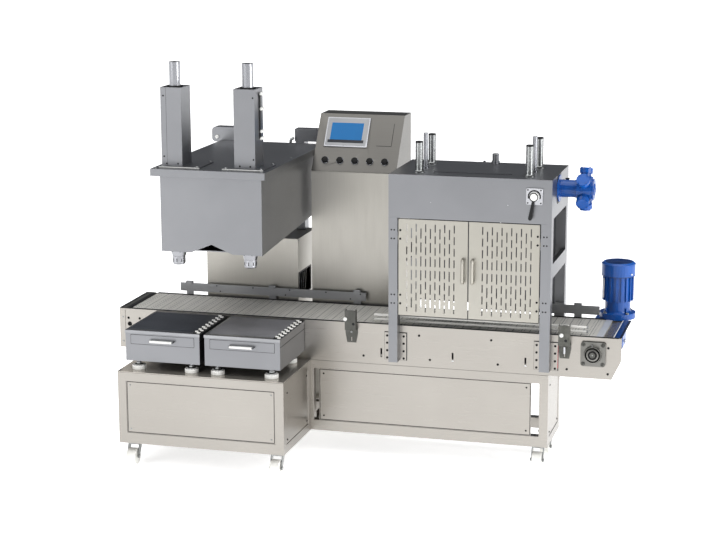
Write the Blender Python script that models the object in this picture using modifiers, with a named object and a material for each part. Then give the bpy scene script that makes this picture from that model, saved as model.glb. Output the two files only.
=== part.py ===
"""Pail filling machine on casters: a slat conveyor with a drive at its right end, two scales
under a filling housing with two dip lances, control cabinets behind, and a capping unit with
two slotted doors. Metres, +Z up. The origin is on the floor, midway along the conveyor and
midway between the table's front and the cabinets' back. +X runs along the conveyor towards
the drive, and +Y runs away from the operator."""
import math

import bmesh
import bpy
from mathutils import Matrix, Vector

# Fits
GAP = 0.0003            # between pieces that touch
RUNNING = 0.0005        # round pins and lances
CLEAR = 0.005           # round pieces that move
PAST = 0.01             # cutters past the faces that they go through
SINK = 0.002            # joined pieces into each other

# Along the conveyor, from its left end
CABINET_INSET = 0.31
LOWER_WIDTH = 0.46
CABINET_APART = 0.069
TALL_WIDTH = 0.41
CAP_SPACE = 0.071
CAP_WIDTH = 0.73
OUTFEED = 0.31
CONVEYOR_LENGTH = (CABINET_INSET + LOWER_WIDTH + CABINET_APART + TALL_WIDTH + CAP_SPACE
                   + CAP_WIDTH + OUTFEED)

# Scales
SCALE_WIDTH = 0.352
SCALE_DEPTH = 0.365
SCALE_HEIGHT = 0.1265
SCALE_LIFT = 0.042      # body over the table
SCALE_SPACE = 0.024
SCALE_INSET = 0.028     # from the table's left side
SCALE_END = 0.026       # to the table's right side
SCALE_SETBACK = 0.04
SCALE_BEHIND = 0.005
PLATFORM_THICK = 0.0145
PLATFORM_LIP = 0.002
MAT_DEEP = 0.0015
MAT_FRONT = 0.03
MAT_EDGE = 0.009
MAT_RIGHT = 0.034
TRAY_LIFT = 0.082       # mouth over the body's underside
TRAY_HEIGHT = 0.036
TRAY_MARGIN = 0.03
TRAY_DEPTH = 0.32
TRAY_SHEET = 0.003
TRAY_TRAVEL = 0.25
TRAY_HANDLE = 0.11
TRAY_HANDLE_OUT = 0.022
TRAY_HANDLE_RADIUS = 0.004
PAD_RADIUS = 0.03
PAD_HEIGHT = 0.02
STUD_RADIUS = 0.009
FOOT_INSET = 0.05
FOOT_FRONT = 0.03
FOOT_REAR = 0.06

# Across the machine, from its front
TABLE_DEPTH = SCALE_SETBACK + SCALE_DEPTH + SCALE_BEHIND
CONVEYOR_WIDTH = 0.345
CABINET_SPACE = 0.015   # behind the conveyor
CABINET_DEPTH = 0.295
MACHINE_DEPTH = TABLE_DEPTH + CONVEYOR_WIDTH + CABINET_SPACE + CABINET_DEPTH
TABLE_LENGTH = SCALE_INSET + 2 * SCALE_WIDTH + SCALE_SPACE + SCALE_END

# Base frame
BASE_TOP = 0.443
FRAME_TOE = 0.155       # conveyor past the frame's left end
FRAME_SHORT = 0.01      # frame short of the capping unit's right side
FRAME_SETBACK = 0.015   # frame's back before the conveyor's
TUBE = 0.04
LOW_RAIL = 0.05
MIDDLE_POST_OUT = 0.015  # past the table's right side
PANEL = 0.003
PANEL_MARGIN = 0.036
PANEL_SLIT = 0.025      # past the middle post
PANEL_SETBACK = 0.002
TABLE_PLATE = 0.004

# Casters
WHEEL_RADIUS = 0.0375
WHEEL_WIDTH = 0.04
WHEEL_SIDES = 32
CASTER_HEIGHT = 0.108
CASTER_TRAIL = 0.028
CASTER_PLATE = 0.07
CASTER_PLATE_THICK = 0.004
CASTER_INSET = 0.05
AXLE_RADIUS = 0.004
AXLE_HEAD = 0.003
FORK_SHEET = 0.003
FORK_SPACE = 0.004
FORK_HALF = 0.019       # cheek at the crown, before and behind the swivel
FORK_TIP = 0.01
FORK_BELOW = 0.007      # cheek below the axle
RACE_RADIUS = 0.025
RACE_HEIGHT = 0.012

# Conveyor
PLATE = 0.004
PLATE_HEIGHT = 0.187
PLATE_NOSE = 0.041      # slanted corner at the drive end, along x
PLATE_NOSE_RISE = 0.087
BACK_PLATE_SHORT = 0.055
DRUM_CENTRE_DROP = 0.074
BELT_THICK = 0.006
BELT_MARGIN = 0.006     # belt edge to side plate's outer face
BELT_STEPS = 14
DRUM_SHAFT = 0.0125
SHAFT_ROOM = 0.0015
TAIL_SHAFT = 0.01
DRUM_MARGIN = 0.006
DRUM_SIDES = 20
BED_DEEP = 0.036
BED_END = 0.085         # bed end to drum centre
DRIVE_END = 0.123       # drive shaft to the conveyor's right end
BEARING_SIZE = 0.11
BEARING_FOOT = 0.012
BEARING_BOSS = 0.034
BEARING_BOSS_OUT = 0.028
BEARING_CORNER = 0.012
SHAFT_OUT = 0.004
TAIL_POCKET = (0.028, 0.125)            # from the left end
TAIL_POCKET_DEEP = 0.0025
TAIL_POCKET_LOW = 0.102                 # below the belt
TAIL_POCKET_HIGH = 0.007
TAIL_HOLES = ((-0.0305, 0.0287, 0.006), (0.0255, 0.0287, 0.006), (-0.0245, 0.0002, 0.011))
COVER_REACH = 0.054     # infeed cover from the left end
COVER_RAISE = 0.0037    # over the belt
COVER_STEPS = 8
PLATE_SLOTS = (-0.0465, 0.2845, 0.6155)  # from the capping unit's left side
PLATE_SLOT_WIDTH = 0.008
PLATE_SLOT_HEIGHT = 0.0405
PLATE_SLOT_RAISE = 0.0342
OUTFEED_START = 0.04    # past the drive shaft's centre
OUTFEED_END = 0.004
OUTFEED_THICK = 0.005
OUTFEED_DROP = 0.001
OUTFEED_RAMP = 0.028
OUTFEED_RAMP_DROP = 0.003
OUTFEED_STOP = 0.01
OUTFEED_STOP_RISE = 0.003

# Drive
GEARBOX_WIDTH = 0.1
GEARBOX_DEPTH = 0.12
GEARBOX_DROP = 0.062
GEARBOX_RISE = 0.076
GEARBOX_PAST = 0.035    # past the motor's axis
GEARBOX_EDGE = 0.006
GEARBOX_SHAFT_OUT = 0.008
WORM_OFFSET = 0.05      # motor axis to drive shaft, along x
MOTOR_FLANGE_RADIUS = 0.082
MOTOR_FLANGE_THICK = 0.026
MOTOR_NECK_RADIUS = 0.058
MOTOR_NECK_HEIGHT = 0.0577
MOTOR_BODY_RADIUS = 0.0635
MOTOR_BODY_HEIGHT = 0.113
MOTOR_FIN = 0.0075
MOTOR_FIN_WIDTH = 0.004
MOTOR_FINS = 18
MOTOR_CAP_RADIUS = 0.0765
MOTOR_CAP_HEIGHT = 0.063
MOTOR_CAP_EDGE = 0.008

# Product guides
GUIDE_THICK = 0.005
GUIDE_HEIGHT = 0.04
GUIDE_RAISE = 0.022     # over the belt
GUIDE_BEFORE = 0.007    # rail before the back plate
GUIDE_LEFT_START = 0.18
GUIDE_LEFT_LENGTH = 0.931
GUIDE_RIGHT_LENGTH = 0.225
GUIDE_RIGHT_END = 0.146
GUIDE_CLAMP_IN = 0.045  # outer clamps from a rail's ends
GUIDE_CLAMP_OUT = 0.1
CLAMP_WIDTH = 0.035
CLAMP_DROP = 0.07
CLAMP_THICK = 0.004
CLAMP_OVER = 0.008
CLAMP_UNDER = 0.012
ROD_RADIUS = 0.006
ROD_LEVELS = (0.015, 0.0355)
ROD_SETBACK = 0.035
ROD_BEFORE = 0.087      # before the capping unit
ROD_END = 0.154         # from the conveyor's right end
ROD_SIDES = 12
ARM_WIDTH = 0.02
BRACKET_WIDTH = 0.05
BRACKET_OUT = 0.03
BRACKET_SHEET = 0.003
BRACKET_RISE = 0.063
BRACKET_DROP = 0.092
BRACKET_WEB_LOW = 0.062  # web over the foot's lower end
BRACKET_BASE = 0.058
BRACKET_BASE_HIGH = 0.068
BRACKET_SHOULDER = 0.088
BRACKET_TAPER_HIGH = 0.0444
BRACKET_TOE = 0.0414
BRACKET_SLOT = (0.005, 0.006, 0.025)    # width, lower end and upper end over the foot
STOP_BEFORE = 0.185     # stop bracket before the capping unit
GUIDE_BRACKET_PAST = 0.06               # past the capping unit's right side
GUIDE_BRACKET_LOWER = 0.0105

# Cabinets
CABINET_SHEET = 0.004
LOWER_TOP = 0.93
HATCH_LOW = 0.65
HATCH_HEIGHT = 0.11
HATCH_DEPTH = 0.2
HATCH_SETBACK = 0.001
TALL_TOP = 1.2615
CONSOLE_HEIGHT = 0.25
CONSOLE_SLOPE_RUN = 0.17
BEZEL_WIDTH = 0.2095
BEZEL_HEIGHT = 0.154
BEZEL_THICK = 0.004
BEZEL_CENTRE = (0.146, 0.098)  # from the slope's upper left corner, along x and down the slope
BUTTONS = 5
BUTTON_RADIUS = 0.015
BUTTON_OUT = 0.009
BUTTON_PITCH = 0.0726
BUTTON_FIRST = 0.0585
BUTTON_UP = 0.0571

# Filling housing
HOUSING_INSET = 0.03    # from the lower cabinet's left side
HOUSING_WIDTH = 0.472
HOUSING_OUT = 0.30      # front wall before the conveyor
HOUSING_BEHIND = 0.095  # back wall before the cabinets' back
HOUSING_LOW = 0.98
HOUSING_HEIGHT = 0.371
HOUSING_FALL = 0.057    # the lower edge falls towards the front
HOUSING_SHEET = 0.004
HOUSING_FLOOR = 0.012   # floor over the walls' lower edge
NOTCH_HALF = 0.098
NOTCH_RISE = 0.04
NOTCH_PAST = 0.25       # notch's cutter below the wall, as a share of its rise
LID_SHEET = 0.004
LID_LIP = 0.033
LID_RIGHT_LIP = 0.0262
LID_SKIRT = 0.033
POST_WIDTH = 0.045
POST_HEAD_SPACE = 0.004
BEAM_RAISE = 0.12       # over the housing's front lower edge
BEAM_HEIGHT = 0.06
LEFT_HEAD = (0.123, 0.069, 0.072)       # width, top over the housing's and height
LEFT_HEAD_CORNER = 0.018
RIGHT_HEAD = (0.153, 0.072, 0.06)
CORNER_STEPS = 4

# Lift columns and lances
LANCE_INSET = 0.043     # from the housing's left side
LANCE_SPACING = 0.34
LANCE_BEHIND = 0.101    # behind the housing's front
COLUMN_WIDTH = 0.097
COLUMN_DEEP = 0.116
COLUMN_HEIGHT = 0.352
COLUMN_SHEET = 0.004
COLUMN_CAP = 0.008
COLUMN_RIM = 0.003
COLUMN_RECESS = 0.004
FOOT_PLATE = 0.19
FOOT_THICK = 0.005
FOOT_OUT = 0.033        # foot plate before the column
FOOT_SHIFT = (0.044, 0.0)
LANCE_RADIUS = 0.025
LANCE_BORE = 0.021
LANCE_BORE_DEEP = 0.03
LANCE_ABOVE = 0.1074    # over the column
LANCE_TRAVEL = 0.09
NOZZLE = ((0.042, -0.006), (0.042, -0.012), (0.035, -0.014), (0.031, -0.035), (0.028, -0.036),
          (0.028, -0.072), (0.025, -0.075))      # radius, and height over the housing's lower edge
NOZZLE_SIDES = 24

# Capping unit
CAP_LEG_LEFT = 0.041
CAP_LEG_RIGHT = 0.046
CAP_LEG_DEEP = 0.05
CAP_LEG_LIFT = 0.027    # over the base
MOUNT_PAST = 0.03       # mounting plate past the leg, each side
MOUNT_HEIGHT = 0.126
MOUNT_THICK = 0.003
CAP_HEAD_LOW = 1.133
CAP_HEAD_HEIGHT = 0.195
CAP_SHEET = 0.004
CAP_SIDE_RISE = 0.018
CAP_BAR_LOW = 0.885
CAP_BAR_HEIGHT = 0.064
CAP_BAR_THICK = 0.02
CAP_BAR_SETBACK = 0.02
CAP_BACK_SHEET = 0.003
CAP_BACK_IN = 0.002
CAP_BACK_LOW = 0.674
CAP_BACK_STEP = 0.335   # from the left side, where the lower edge drops
CAP_BACK_STEP_LOW = 0.645
CAP_BACK_SLIT = (0.427, 0.004, 0.05)    # from the left side, width and distance from the top
DOOR_LOW = 0.692
DOOR_SHEET = 0.003
DOOR_GAP = 0.005
DOOR_TOP_GAP = 0.004
HINGE_RADIUS = 0.0022
HINGE_LENGTH = 0.05
HINGE_INSET = 0.09
HINGE_ENDS = 0.015
HINGE_LEAF = 0.003
HINGE_LEAF_THICK = 0.002
SLOT_WIDTH = 0.005
SLOT_COLUMNS = 11
SLOT_PITCH = 0.0215
SLOT_FIRST = 0.0378
SLOT_TOP = 0.019
SLOTS_ODD = (8, 0.036, 0.052, 0.0)        # count, length, pitch, drop of the first
SLOTS_EVEN = (6, 0.046, 0.063, 0.02)
PULL_HEIGHT = 0.1
PULL_OUT = 0.028
PULL_RADIUS = 0.006
PULL_INSET = 0.0195
PULL_DROP = 0.225
PULL_BEND = 0.012
THREADED_RADIUS = 0.016
THREADED_RISE = 0.134
THREADED_X = 0.117      # from each side
THREADED_Y = (0.0925, 0.345)
PLAIN_RADIUS = 0.0095
PLAIN_RISE = 0.157
PLAIN_Y = 0.2185
POST_SIDES = 16
STUB = (0.3965, 0.02)   # from the left side and from the back
STUB_RADIUS = 0.016
STUB_RISE = 0.041
STUB_FLANGE = (0.0195, 0.01)
STUD_KNOB = (0.3425, 0.01, 0.006, 0.007)  # the same two places, radius and rise
HEAD_STRIP = (0.183, 0.534, 0.1)          # left end, right end and place from the front
HEAD_STRIP_SIZE = (0.006, 0.003)

# Selector and air motor
SELECTOR_SIZE = 0.072
SELECTOR_THICK = 0.006
SELECTOR_IN = 0.077     # from the unit's right side
SELECTOR_RAISE = 0.122  # over the head's lower edge
KNOB_RADIUS = 0.02
KNOB_OUT = 0.018
LEVER_WIDTHS = (0.008, 0.017)
LEVER_LENGTH = 0.105
LEVER_THICK = 0.008
LEVER_LEAN = 9.0        # degrees from upright, to the left
AIR_Y = 0.18            # from the unit's front
AIR_RAISE = 0.1325      # over the head's lower edge
AIR_FLANGE = (0.06, 0.006)
AIR_BARREL = (0.0385, 0.078)
AIR_CRANK = (0.057, 0.062)
AIR_CAP = (0.046, 0.01)
AIR_CYLINDER = (0.023, 0.072)
AIR_CYLINDER_HEAD = (0.029, 0.093)
AIR_CYLINDER_ROOT = 0.02
AIR_CYLINDERS = 5
AIR_CYLINDER_SIDES = 14

# Reference lines. The motor's flange reaches a little past the conveyor's right end.
MACHINE_LENGTH = CONVEYOR_LENGTH - DRIVE_END + WORM_OFFSET + MOTOR_FLANGE_RADIUS
LEFT = -MACHINE_LENGTH / 2
RIGHT = LEFT + CONVEYOR_LENGTH
LOWER_LEFT = LEFT + CABINET_INSET
TALL_LEFT = LOWER_LEFT + LOWER_WIDTH + CABINET_APART
TALL_RIGHT = TALL_LEFT + TALL_WIDTH
CAP_LEFT = TALL_RIGHT + CAP_SPACE
CAP_RIGHT = CAP_LEFT + CAP_WIDTH
FRAME_RIGHT = CAP_RIGHT - FRAME_SHORT
FRAME_LEFT = LEFT + FRAME_TOE
TABLE_RIGHT = FRAME_LEFT + TABLE_LENGTH
TABLE_FRONT = -MACHINE_DEPTH / 2
FRONT = TABLE_FRONT + TABLE_DEPTH            # conveyor's front plate and the frame's front
BACK = FRONT + CONVEYOR_WIDTH
FRAME_BACK = BACK - FRAME_SETBACK
REAR = MACHINE_DEPTH / 2
CABINET_FRONT = BACK + CABINET_SPACE
BELT_TOP = BASE_TOP + GAP + PLATE_HEIGHT
DRUM_Z = BELT_TOP - DRUM_CENTRE_DROP
DRIVE_X = RIGHT - DRIVE_END
TAIL_X = LEFT + DRUM_CENTRE_DROP
CAP_FRONT = FRONT - CAP_LEG_DEEP
CAP_BACK = BACK + CAP_LEG_DEEP
CAP_TOP = CAP_HEAD_LOW + CAP_HEAD_HEIGHT
HOUSING_LEFT = LOWER_LEFT + HOUSING_INSET
HOUSING_RIGHT = HOUSING_LEFT + HOUSING_WIDTH
HOUSING_FRONT = FRONT - HOUSING_OUT
HOUSING_BACK = REAR - HOUSING_BEHIND
HOUSING_TOP = HOUSING_LOW + HOUSING_HEIGHT
LANCE_Y = HOUSING_FRONT + LANCE_BEHIND
MACHINE = "pail_filling_machine"


def clear_scene():
    for item in list(bpy.data.objects):
        bpy.data.objects.remove(item, do_unlink=True)


def collection(name):
    made = bpy.data.collections.new(name)
    bpy.context.scene.collection.children.link(made)
    return made


def material(name, colour, roughness, metallic):
    made = bpy.data.materials.new(name)
    made.use_nodes = True
    shader = made.node_tree.nodes["Principled BSDF"]
    shader.inputs["Base Color"].default_value = (*colour, 1.0)
    shader.inputs["Roughness"].default_value = roughness
    shader.inputs["Metallic"].default_value = metallic
    return made


clear_scene()
PARTS = collection(MACHINE)
CUTTERS = collection("cutters")
STEEL = material("brushed_stainless", (0.55, 0.52, 0.49), 0.35, 0.9)
COATED = material("satin_stainless", (0.36, 0.37, 0.40), 0.4, 0.7)
DARK = material("dark_plastic", (0.03, 0.03, 0.03), 0.5, 0.0)
BLUE = material("blue_enamel", (0.02, 0.10, 0.46), 0.35, 0.2)
NYLON = material("white_nylon", (0.85, 0.85, 0.83), 0.45, 0.0)
ZINC = material("zinc_plate", (0.6, 0.6, 0.6), 0.35, 0.9)
BELT = material("slat_belt", (0.42, 0.42, 0.41), 0.4, 0.8)


def add_object(name, mesh, finish):
    """A part when it has a finish, and otherwise a guide that only cuts or joins."""
    item = bpy.data.objects.new(name, mesh)
    if finish is None:
        CUTTERS.objects.link(item)
        item.hide_render = True
        item.display_type = "WIRE"
    else:
        PARTS.objects.link(item)
        mesh.materials.append(finish)
    return item


def mesh_from(name, body):
    mesh = bpy.data.meshes.new(name)
    body.to_mesh(mesh)
    body.free()
    return mesh


def block(name, low, high, finish=None):
    """A box between two corners."""
    low, high = Vector(low), Vector(high)
    body = bmesh.new()
    bmesh.ops.create_cube(body, size=1.0)
    bmesh.ops.scale(body, vec=high - low, verts=body.verts)
    item = add_object(name, mesh_from(name, body), finish)
    item.location = (low + high) / 2
    return item


def rod(name, radius, start, end, finish=None, sides=24, turn=0.0):
    """A round bar between two points."""
    start, end = Vector(start), Vector(end)
    body = bmesh.new()
    bmesh.ops.create_cone(body, cap_ends=True, segments=sides, radius1=radius, radius2=radius,
                          depth=(end - start).length)
    bmesh.ops.rotate(body, cent=(0, 0, 0), matrix=Matrix.Rotation(turn, 3, "Z"), verts=body.verts)
    item = add_object(name, mesh_from(name, body), finish)
    item.location = (start + end) / 2
    item.rotation_euler = (end - start).to_track_quat("Z", "Y").to_euler()
    return item


def turned(name, profile, centre, finish=None, sides=24, axis="Z"):
    """A solid of revolution from (radius, height) points, top first, closed on its axis."""
    body = bmesh.new()
    points = [(0.0, profile[0][1])] + list(profile) + [(0.0, profile[-1][1])]
    verts = [body.verts.new((radius, 0.0, height)) for radius, height in points]
    for first, second in zip(verts, verts[1:]):
        body.edges.new((first, second))
    item = add_object(name, mesh_from(name, body), finish)
    screw = item.modifiers.new("turn", "SCREW")
    screw.steps = screw.render_steps = sides
    screw.use_merge_vertices = True
    screw.merge_threshold = 0.00001
    item.location = centre
    if axis == "X":
        item.rotation_euler = (0.0, math.pi / 2, 0.0)
    return item


def prism(name, outline, low, high, axis, finish=None):
    """A flat outline given thickness along an axis: x takes (y, z) points, y takes (x, z)
    points and z takes (x, y) points."""
    curve = bpy.data.curves.new(name, "CURVE")
    curve.dimensions = "2D"
    curve.fill_mode = "BOTH"
    curve.extrude = (high - low) / 2
    spline = curve.splines.new("POLY")
    spline.points.add(len(outline) - 1)
    for point, (first, second) in zip(spline.points, outline):
        point.co = (first, second, 0.0, 1.0)
    spline.use_cyclic_u = True
    middle = (high + low) / 2
    place = {
        "x": Matrix(((0, 0, 1, middle), (1, 0, 0, 0), (0, 1, 0, 0), (0, 0, 0, 1))),
        "y": Matrix(((1, 0, 0, 0), (0, 0, -1, middle), (0, 1, 0, 0), (0, 0, 0, 1))),
        "z": Matrix(((1, 0, 0, 0), (0, 1, 0, 0), (0, 0, 1, middle), (0, 0, 0, 1))),
    }[axis]
    return mesh_from_curve(name, curve, place, finish)


def mesh_from_curve(name, curve, place, finish):
    """The solid of a curve, with its caps welded."""
    guide = bpy.data.objects.new(name + "_curve", curve)
    CUTTERS.objects.link(guide)
    bpy.context.view_layer.update()
    graph = bpy.context.evaluated_depsgraph_get()
    mesh = bpy.data.meshes.new_from_object(guide.evaluated_get(graph))
    bpy.data.objects.remove(guide, do_unlink=True)
    body = bmesh.new()
    body.from_mesh(mesh)
    bmesh.ops.remove_doubles(body, verts=body.verts, dist=0.00001)
    bmesh.ops.recalc_face_normals(body, faces=body.faces)
    body.to_mesh(mesh)
    body.free()
    mesh.materials.clear()
    item = add_object(name, mesh, finish)
    item.matrix_world = place
    return item


def wire(name, points, radius, finish=None, resolution=1):
    """A bent round bar through points."""
    curve = bpy.data.curves.new(name, "CURVE")
    curve.dimensions = "3D"
    curve.bevel_depth = radius
    curve.bevel_resolution = resolution
    curve.use_fill_caps = True
    spline = curve.splines.new("POLY")
    spline.points.add(len(points) - 1)
    for point, place in zip(spline.points, points):
        point.co = (*place, 1.0)
    return mesh_from_curve(name, curve, Matrix.Identity(4), finish)


def combine(target, operation, others):
    for other in others:
        step = target.modifiers.new(other.name, "BOOLEAN")
        step.operation = operation
        step.solver = "EXACT"
        step.object = other


def join(target, *others):
    combine(target, "UNION", others)


def cut(target, *others):
    combine(target, "DIFFERENCE", others)


def arc(centre, radius, start, end, steps):
    """Points on a circle between two angles in degrees."""
    turns = [math.radians(start + (end - start) * step / steps) for step in range(steps + 1)]
    return [(centre[0] + radius * math.cos(a), centre[1] + radius * math.sin(a)) for a in turns]


def rounded(low, high, corner, steps=CORNER_STEPS):
    """A rectangle's outline with its corners rounded."""
    points = []
    for x, y, start in ((high[0] - corner, low[1] + corner, -90),
                        (high[0] - corner, high[1] - corner, 0),
                        (low[0] + corner, high[1] - corner, 90),
                        (low[0] + corner, low[1] + corner, 180)):
        points += arc((x, y), corner, start, start + 90, steps)
    return points


# Casters stand with their wheels trailing to the front.
CASTER_REACH = CASTER_TRAIL + WHEEL_RADIUS + RUNNING
TABLE_CASTERS = (
    (FRAME_LEFT + CASTER_INSET, TABLE_FRONT + CASTER_REACH),
    (TABLE_RIGHT - CASTER_INSET, TABLE_FRONT + CASTER_REACH),
)
MAIN_CASTERS = (
    (FRAME_RIGHT - CASTER_INSET, FRONT + CASTER_REACH),
    (FRAME_RIGHT - CASTER_INSET, FRAME_BACK - CASTER_INSET),
    (LOWER_LEFT + CASTER_INSET, REAR - CASTER_INSET),
    (TALL_RIGHT - CASTER_INSET, REAR - CASTER_INSET),
)


def caster_plate(x, y):
    half = CASTER_PLATE / 2
    return block("caster_plate", (x - half, y - half, CASTER_HEIGHT - CASTER_PLATE_THICK),
                 (x + half, y + half, CASTER_HEIGHT + SINK))


def tube_frame(name, low, high, finish, middle_post=None):
    """Posts at the corners and rails all round: a block with its windows cut through."""
    frame = block(name, low, high, finish)
    spans = [(low[0] + TUBE, high[0] - TUBE)]
    if middle_post is not None:
        spans = [(low[0] + TUBE, middle_post - TUBE), (middle_post, high[0] - TUBE)]
    for start, end in spans:
        cut(frame, block("front_window", (start, low[1] - PAST, low[2] + LOW_RAIL),
                         (end, high[1] + PAST, high[2] - TUBE)),
            block("top_window", (start, low[1] + TUBE, low[2] - PAST),
                  (end, high[1] - TUBE, high[2] + PAST)))
    cut(frame, block("side_window", (low[0] - PAST, low[1] + TUBE, low[2] + TUBE),
                     (high[0] + PAST, high[1] - TUBE, high[2] - TUBE)))
    return frame


def build_base():
    middle_post = TABLE_RIGHT + MIDDLE_POST_OUT
    low = CASTER_HEIGHT
    main = tube_frame("main_frame", (FRAME_LEFT, FRONT, low), (FRAME_RIGHT, FRAME_BACK, BASE_TOP),
                      STEEL, middle_post)
    high = low + TUBE
    side_start = FRAME_BACK - TUBE / 2
    join(main, block("rear_rail", (LOWER_LEFT, REAR - TUBE, low), (TALL_RIGHT, REAR, high)),
         block("rear_side", (LOWER_LEFT, side_start, low), (LOWER_LEFT + TUBE, REAR, high)),
         block("rear_side", (TALL_RIGHT - TUBE, side_start, low), (TALL_RIGHT, REAR, high)))
    join(main, *[caster_plate(x, y) for x, y in MAIN_CASTERS])
    table_top = BASE_TOP - TABLE_PLATE
    table = tube_frame("table_frame", (FRAME_LEFT, TABLE_FRONT, low),
                       (TABLE_RIGHT, FRONT - GAP, table_top), STEEL)
    join(table, *[caster_plate(x, y) for x, y in TABLE_CASTERS])
    block("table_top", (FRAME_LEFT, TABLE_FRONT, table_top + GAP),
          (TABLE_RIGHT, FRONT - GAP, BASE_TOP), STEEL)
    build_panels(middle_post)


def build_panels(middle_post):
    """Sheets inside the base frames: two in front and two at each side."""
    low = CASTER_HEIGHT + LOW_RAIL + GAP
    high = BASE_TOP - TUBE - GAP
    front = FRONT + PANEL_SETBACK
    block("main_front_panel", (middle_post + PANEL_SLIT, front, low),
          (FRAME_RIGHT - TUBE - PANEL_MARGIN, front + PANEL, high), STEEL)
    front = TABLE_FRONT + PANEL_SETBACK
    block("table_front_panel", (FRAME_LEFT + TUBE + GAP, front, low),
          (TABLE_RIGHT - TUBE - GAP, front + PANEL, high - TABLE_PLATE), STEEL)
    low = CASTER_HEIGHT + TUBE + GAP
    main_span = (FRONT + TUBE + GAP, FRAME_BACK - TUBE - GAP)
    table_span = (TABLE_FRONT + TUBE + GAP, FRONT - TUBE - 2 * GAP)
    left = FRAME_LEFT + PANEL_SETBACK
    sides = (("main_side_panel", FRAME_RIGHT - PANEL_SETBACK - PANEL, main_span, high),
             ("main_left_panel", left, main_span, high),
             ("table_side_panel", TABLE_RIGHT - PANEL_SETBACK - PANEL, table_span, high - TABLE_PLATE),
             ("table_left_panel", left, table_span, high - TABLE_PLATE))
    for name, x, span, top in sides:
        block(name, (x, span[0], low), (x + PANEL, span[1], top), STEEL)


def build_caster(label, x, y):
    """A swivel fork with its axle, and a wheel whose lowest flat stands on the floor."""
    axle_z = WHEEL_RADIUS * math.cos(math.pi / WHEEL_SIDES)
    half = WHEEL_WIDTH / 2
    inner = half + FORK_SPACE
    outer = inner + FORK_SHEET
    race_top = CASTER_HEIGHT - CASTER_PLATE_THICK - GAP
    crown = race_top - RACE_HEIGHT
    fork = rod("caster_fork_" + label, RACE_RADIUS, (x, y, crown), (x, y, race_top), ZINC, 16)
    axle_y = y - CASTER_TRAIL
    cheek = [(axle_y - FORK_TIP, axle_z - FORK_BELOW), (axle_y + FORK_TIP, axle_z - FORK_BELOW),
             (y + FORK_HALF, crown + SINK / 2), (y - FORK_HALF, crown + SINK / 2)]
    join(fork, prism("cheek", cheek, x - outer, x - inner, "x"),
         prism("cheek", cheek, x + inner, x + outer, "x"),
         block("crown", (x - outer, y - FORK_HALF, crown - FORK_SHEET),
               (x + outer, y + FORK_HALF, crown + SINK)),
         rod("axle", AXLE_RADIUS, (x - outer - AXLE_HEAD, axle_y, axle_z),
             (x + outer + AXLE_HEAD, axle_y, axle_z), sides=8))
    wheel = rod("caster_wheel_" + label, WHEEL_RADIUS, (x - half, axle_y, axle_z),
                (x + half, axle_y, axle_z), NYLON, WHEEL_SIDES, math.pi / WHEEL_SIDES)
    cut(wheel, rod("wheel_bore", AXLE_RADIUS + RUNNING, (x - half - PAST, axle_y, axle_z),
                   (x + half + PAST, axle_y, axle_z), sides=8))


def side_plate(name, y, right):
    """One side of the conveyor, with a slanted lower corner at the drive and its shaft's hole."""
    low = BASE_TOP + GAP
    outline = [(LEFT, low), (right - PLATE_NOSE, low), (right, low + PLATE_NOSE_RISE),
               (right, BELT_TOP), (LEFT, BELT_TOP)]
    plate = prism(name, outline, y, y + PLATE, "y", STEEL)
    cut(plate, rod("shaft_hole", DRUM_SHAFT + SHAFT_ROOM, (DRIVE_X, y - PAST, DRUM_Z),
                   (DRIVE_X, y + PLATE + PAST, DRUM_Z)))
    return plate


def build_conveyor():
    front_plate = side_plate("conveyor_front_plate", FRONT, RIGHT)
    side_plate("conveyor_back_plate", BACK - PLATE, RIGHT - BACK_PLATE_SHORT)
    through = (FRONT - PAST, FRONT + PLATE + PAST)
    cut(front_plate, block("tail_pocket", (LEFT + TAIL_POCKET[0], through[0], BELT_TOP - TAIL_POCKET_LOW),
                           (LEFT + TAIL_POCKET[1], FRONT + TAIL_POCKET_DEEP, BELT_TOP - TAIL_POCKET_HIGH)))
    for x, z, radius in TAIL_HOLES:
        cut(front_plate, rod("tail_hole", radius, (TAIL_X + x, through[0], DRUM_Z + z),
                             (TAIL_X + x, through[1], DRUM_Z + z), sides=12))
    low = BASE_TOP + GAP + PLATE_SLOT_RAISE
    for along in PLATE_SLOTS:
        x = CAP_LEFT + along
        cut(front_plate, block("plate_slot", (x - PLATE_SLOT_WIDTH / 2, through[0], low),
                               (x + PLATE_SLOT_WIDTH / 2, through[1], low + PLATE_SLOT_HEIGHT)))
    inner_front, inner_back = FRONT + PLATE + GAP, BACK - PLATE - GAP
    bed_top = BELT_TOP - BELT_THICK - GAP
    block("conveyor_bed", (TAIL_X + BED_END, inner_front, bed_top - BED_DEEP),
          (DRIVE_X - BED_END, inner_back, bed_top), STEEL)
    build_belt(inner_front, inner_back)
    start, end = DRIVE_X + OUTFEED_START, RIGHT - OUTFEED_END
    top = BELT_TOP - OUTFEED_DROP
    outfeed = [(start, top - OUTFEED_THICK), (end, top - OUTFEED_THICK), (end, top + OUTFEED_STOP_RISE),
               (end - OUTFEED_STOP, top + OUTFEED_STOP_RISE), (end - OUTFEED_STOP, top),
               (start + OUTFEED_RAMP, top), (start, top - OUTFEED_RAMP_DROP)]
    prism("transfer_plate", outfeed, inner_front, inner_back, "y", STEEL)


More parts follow.
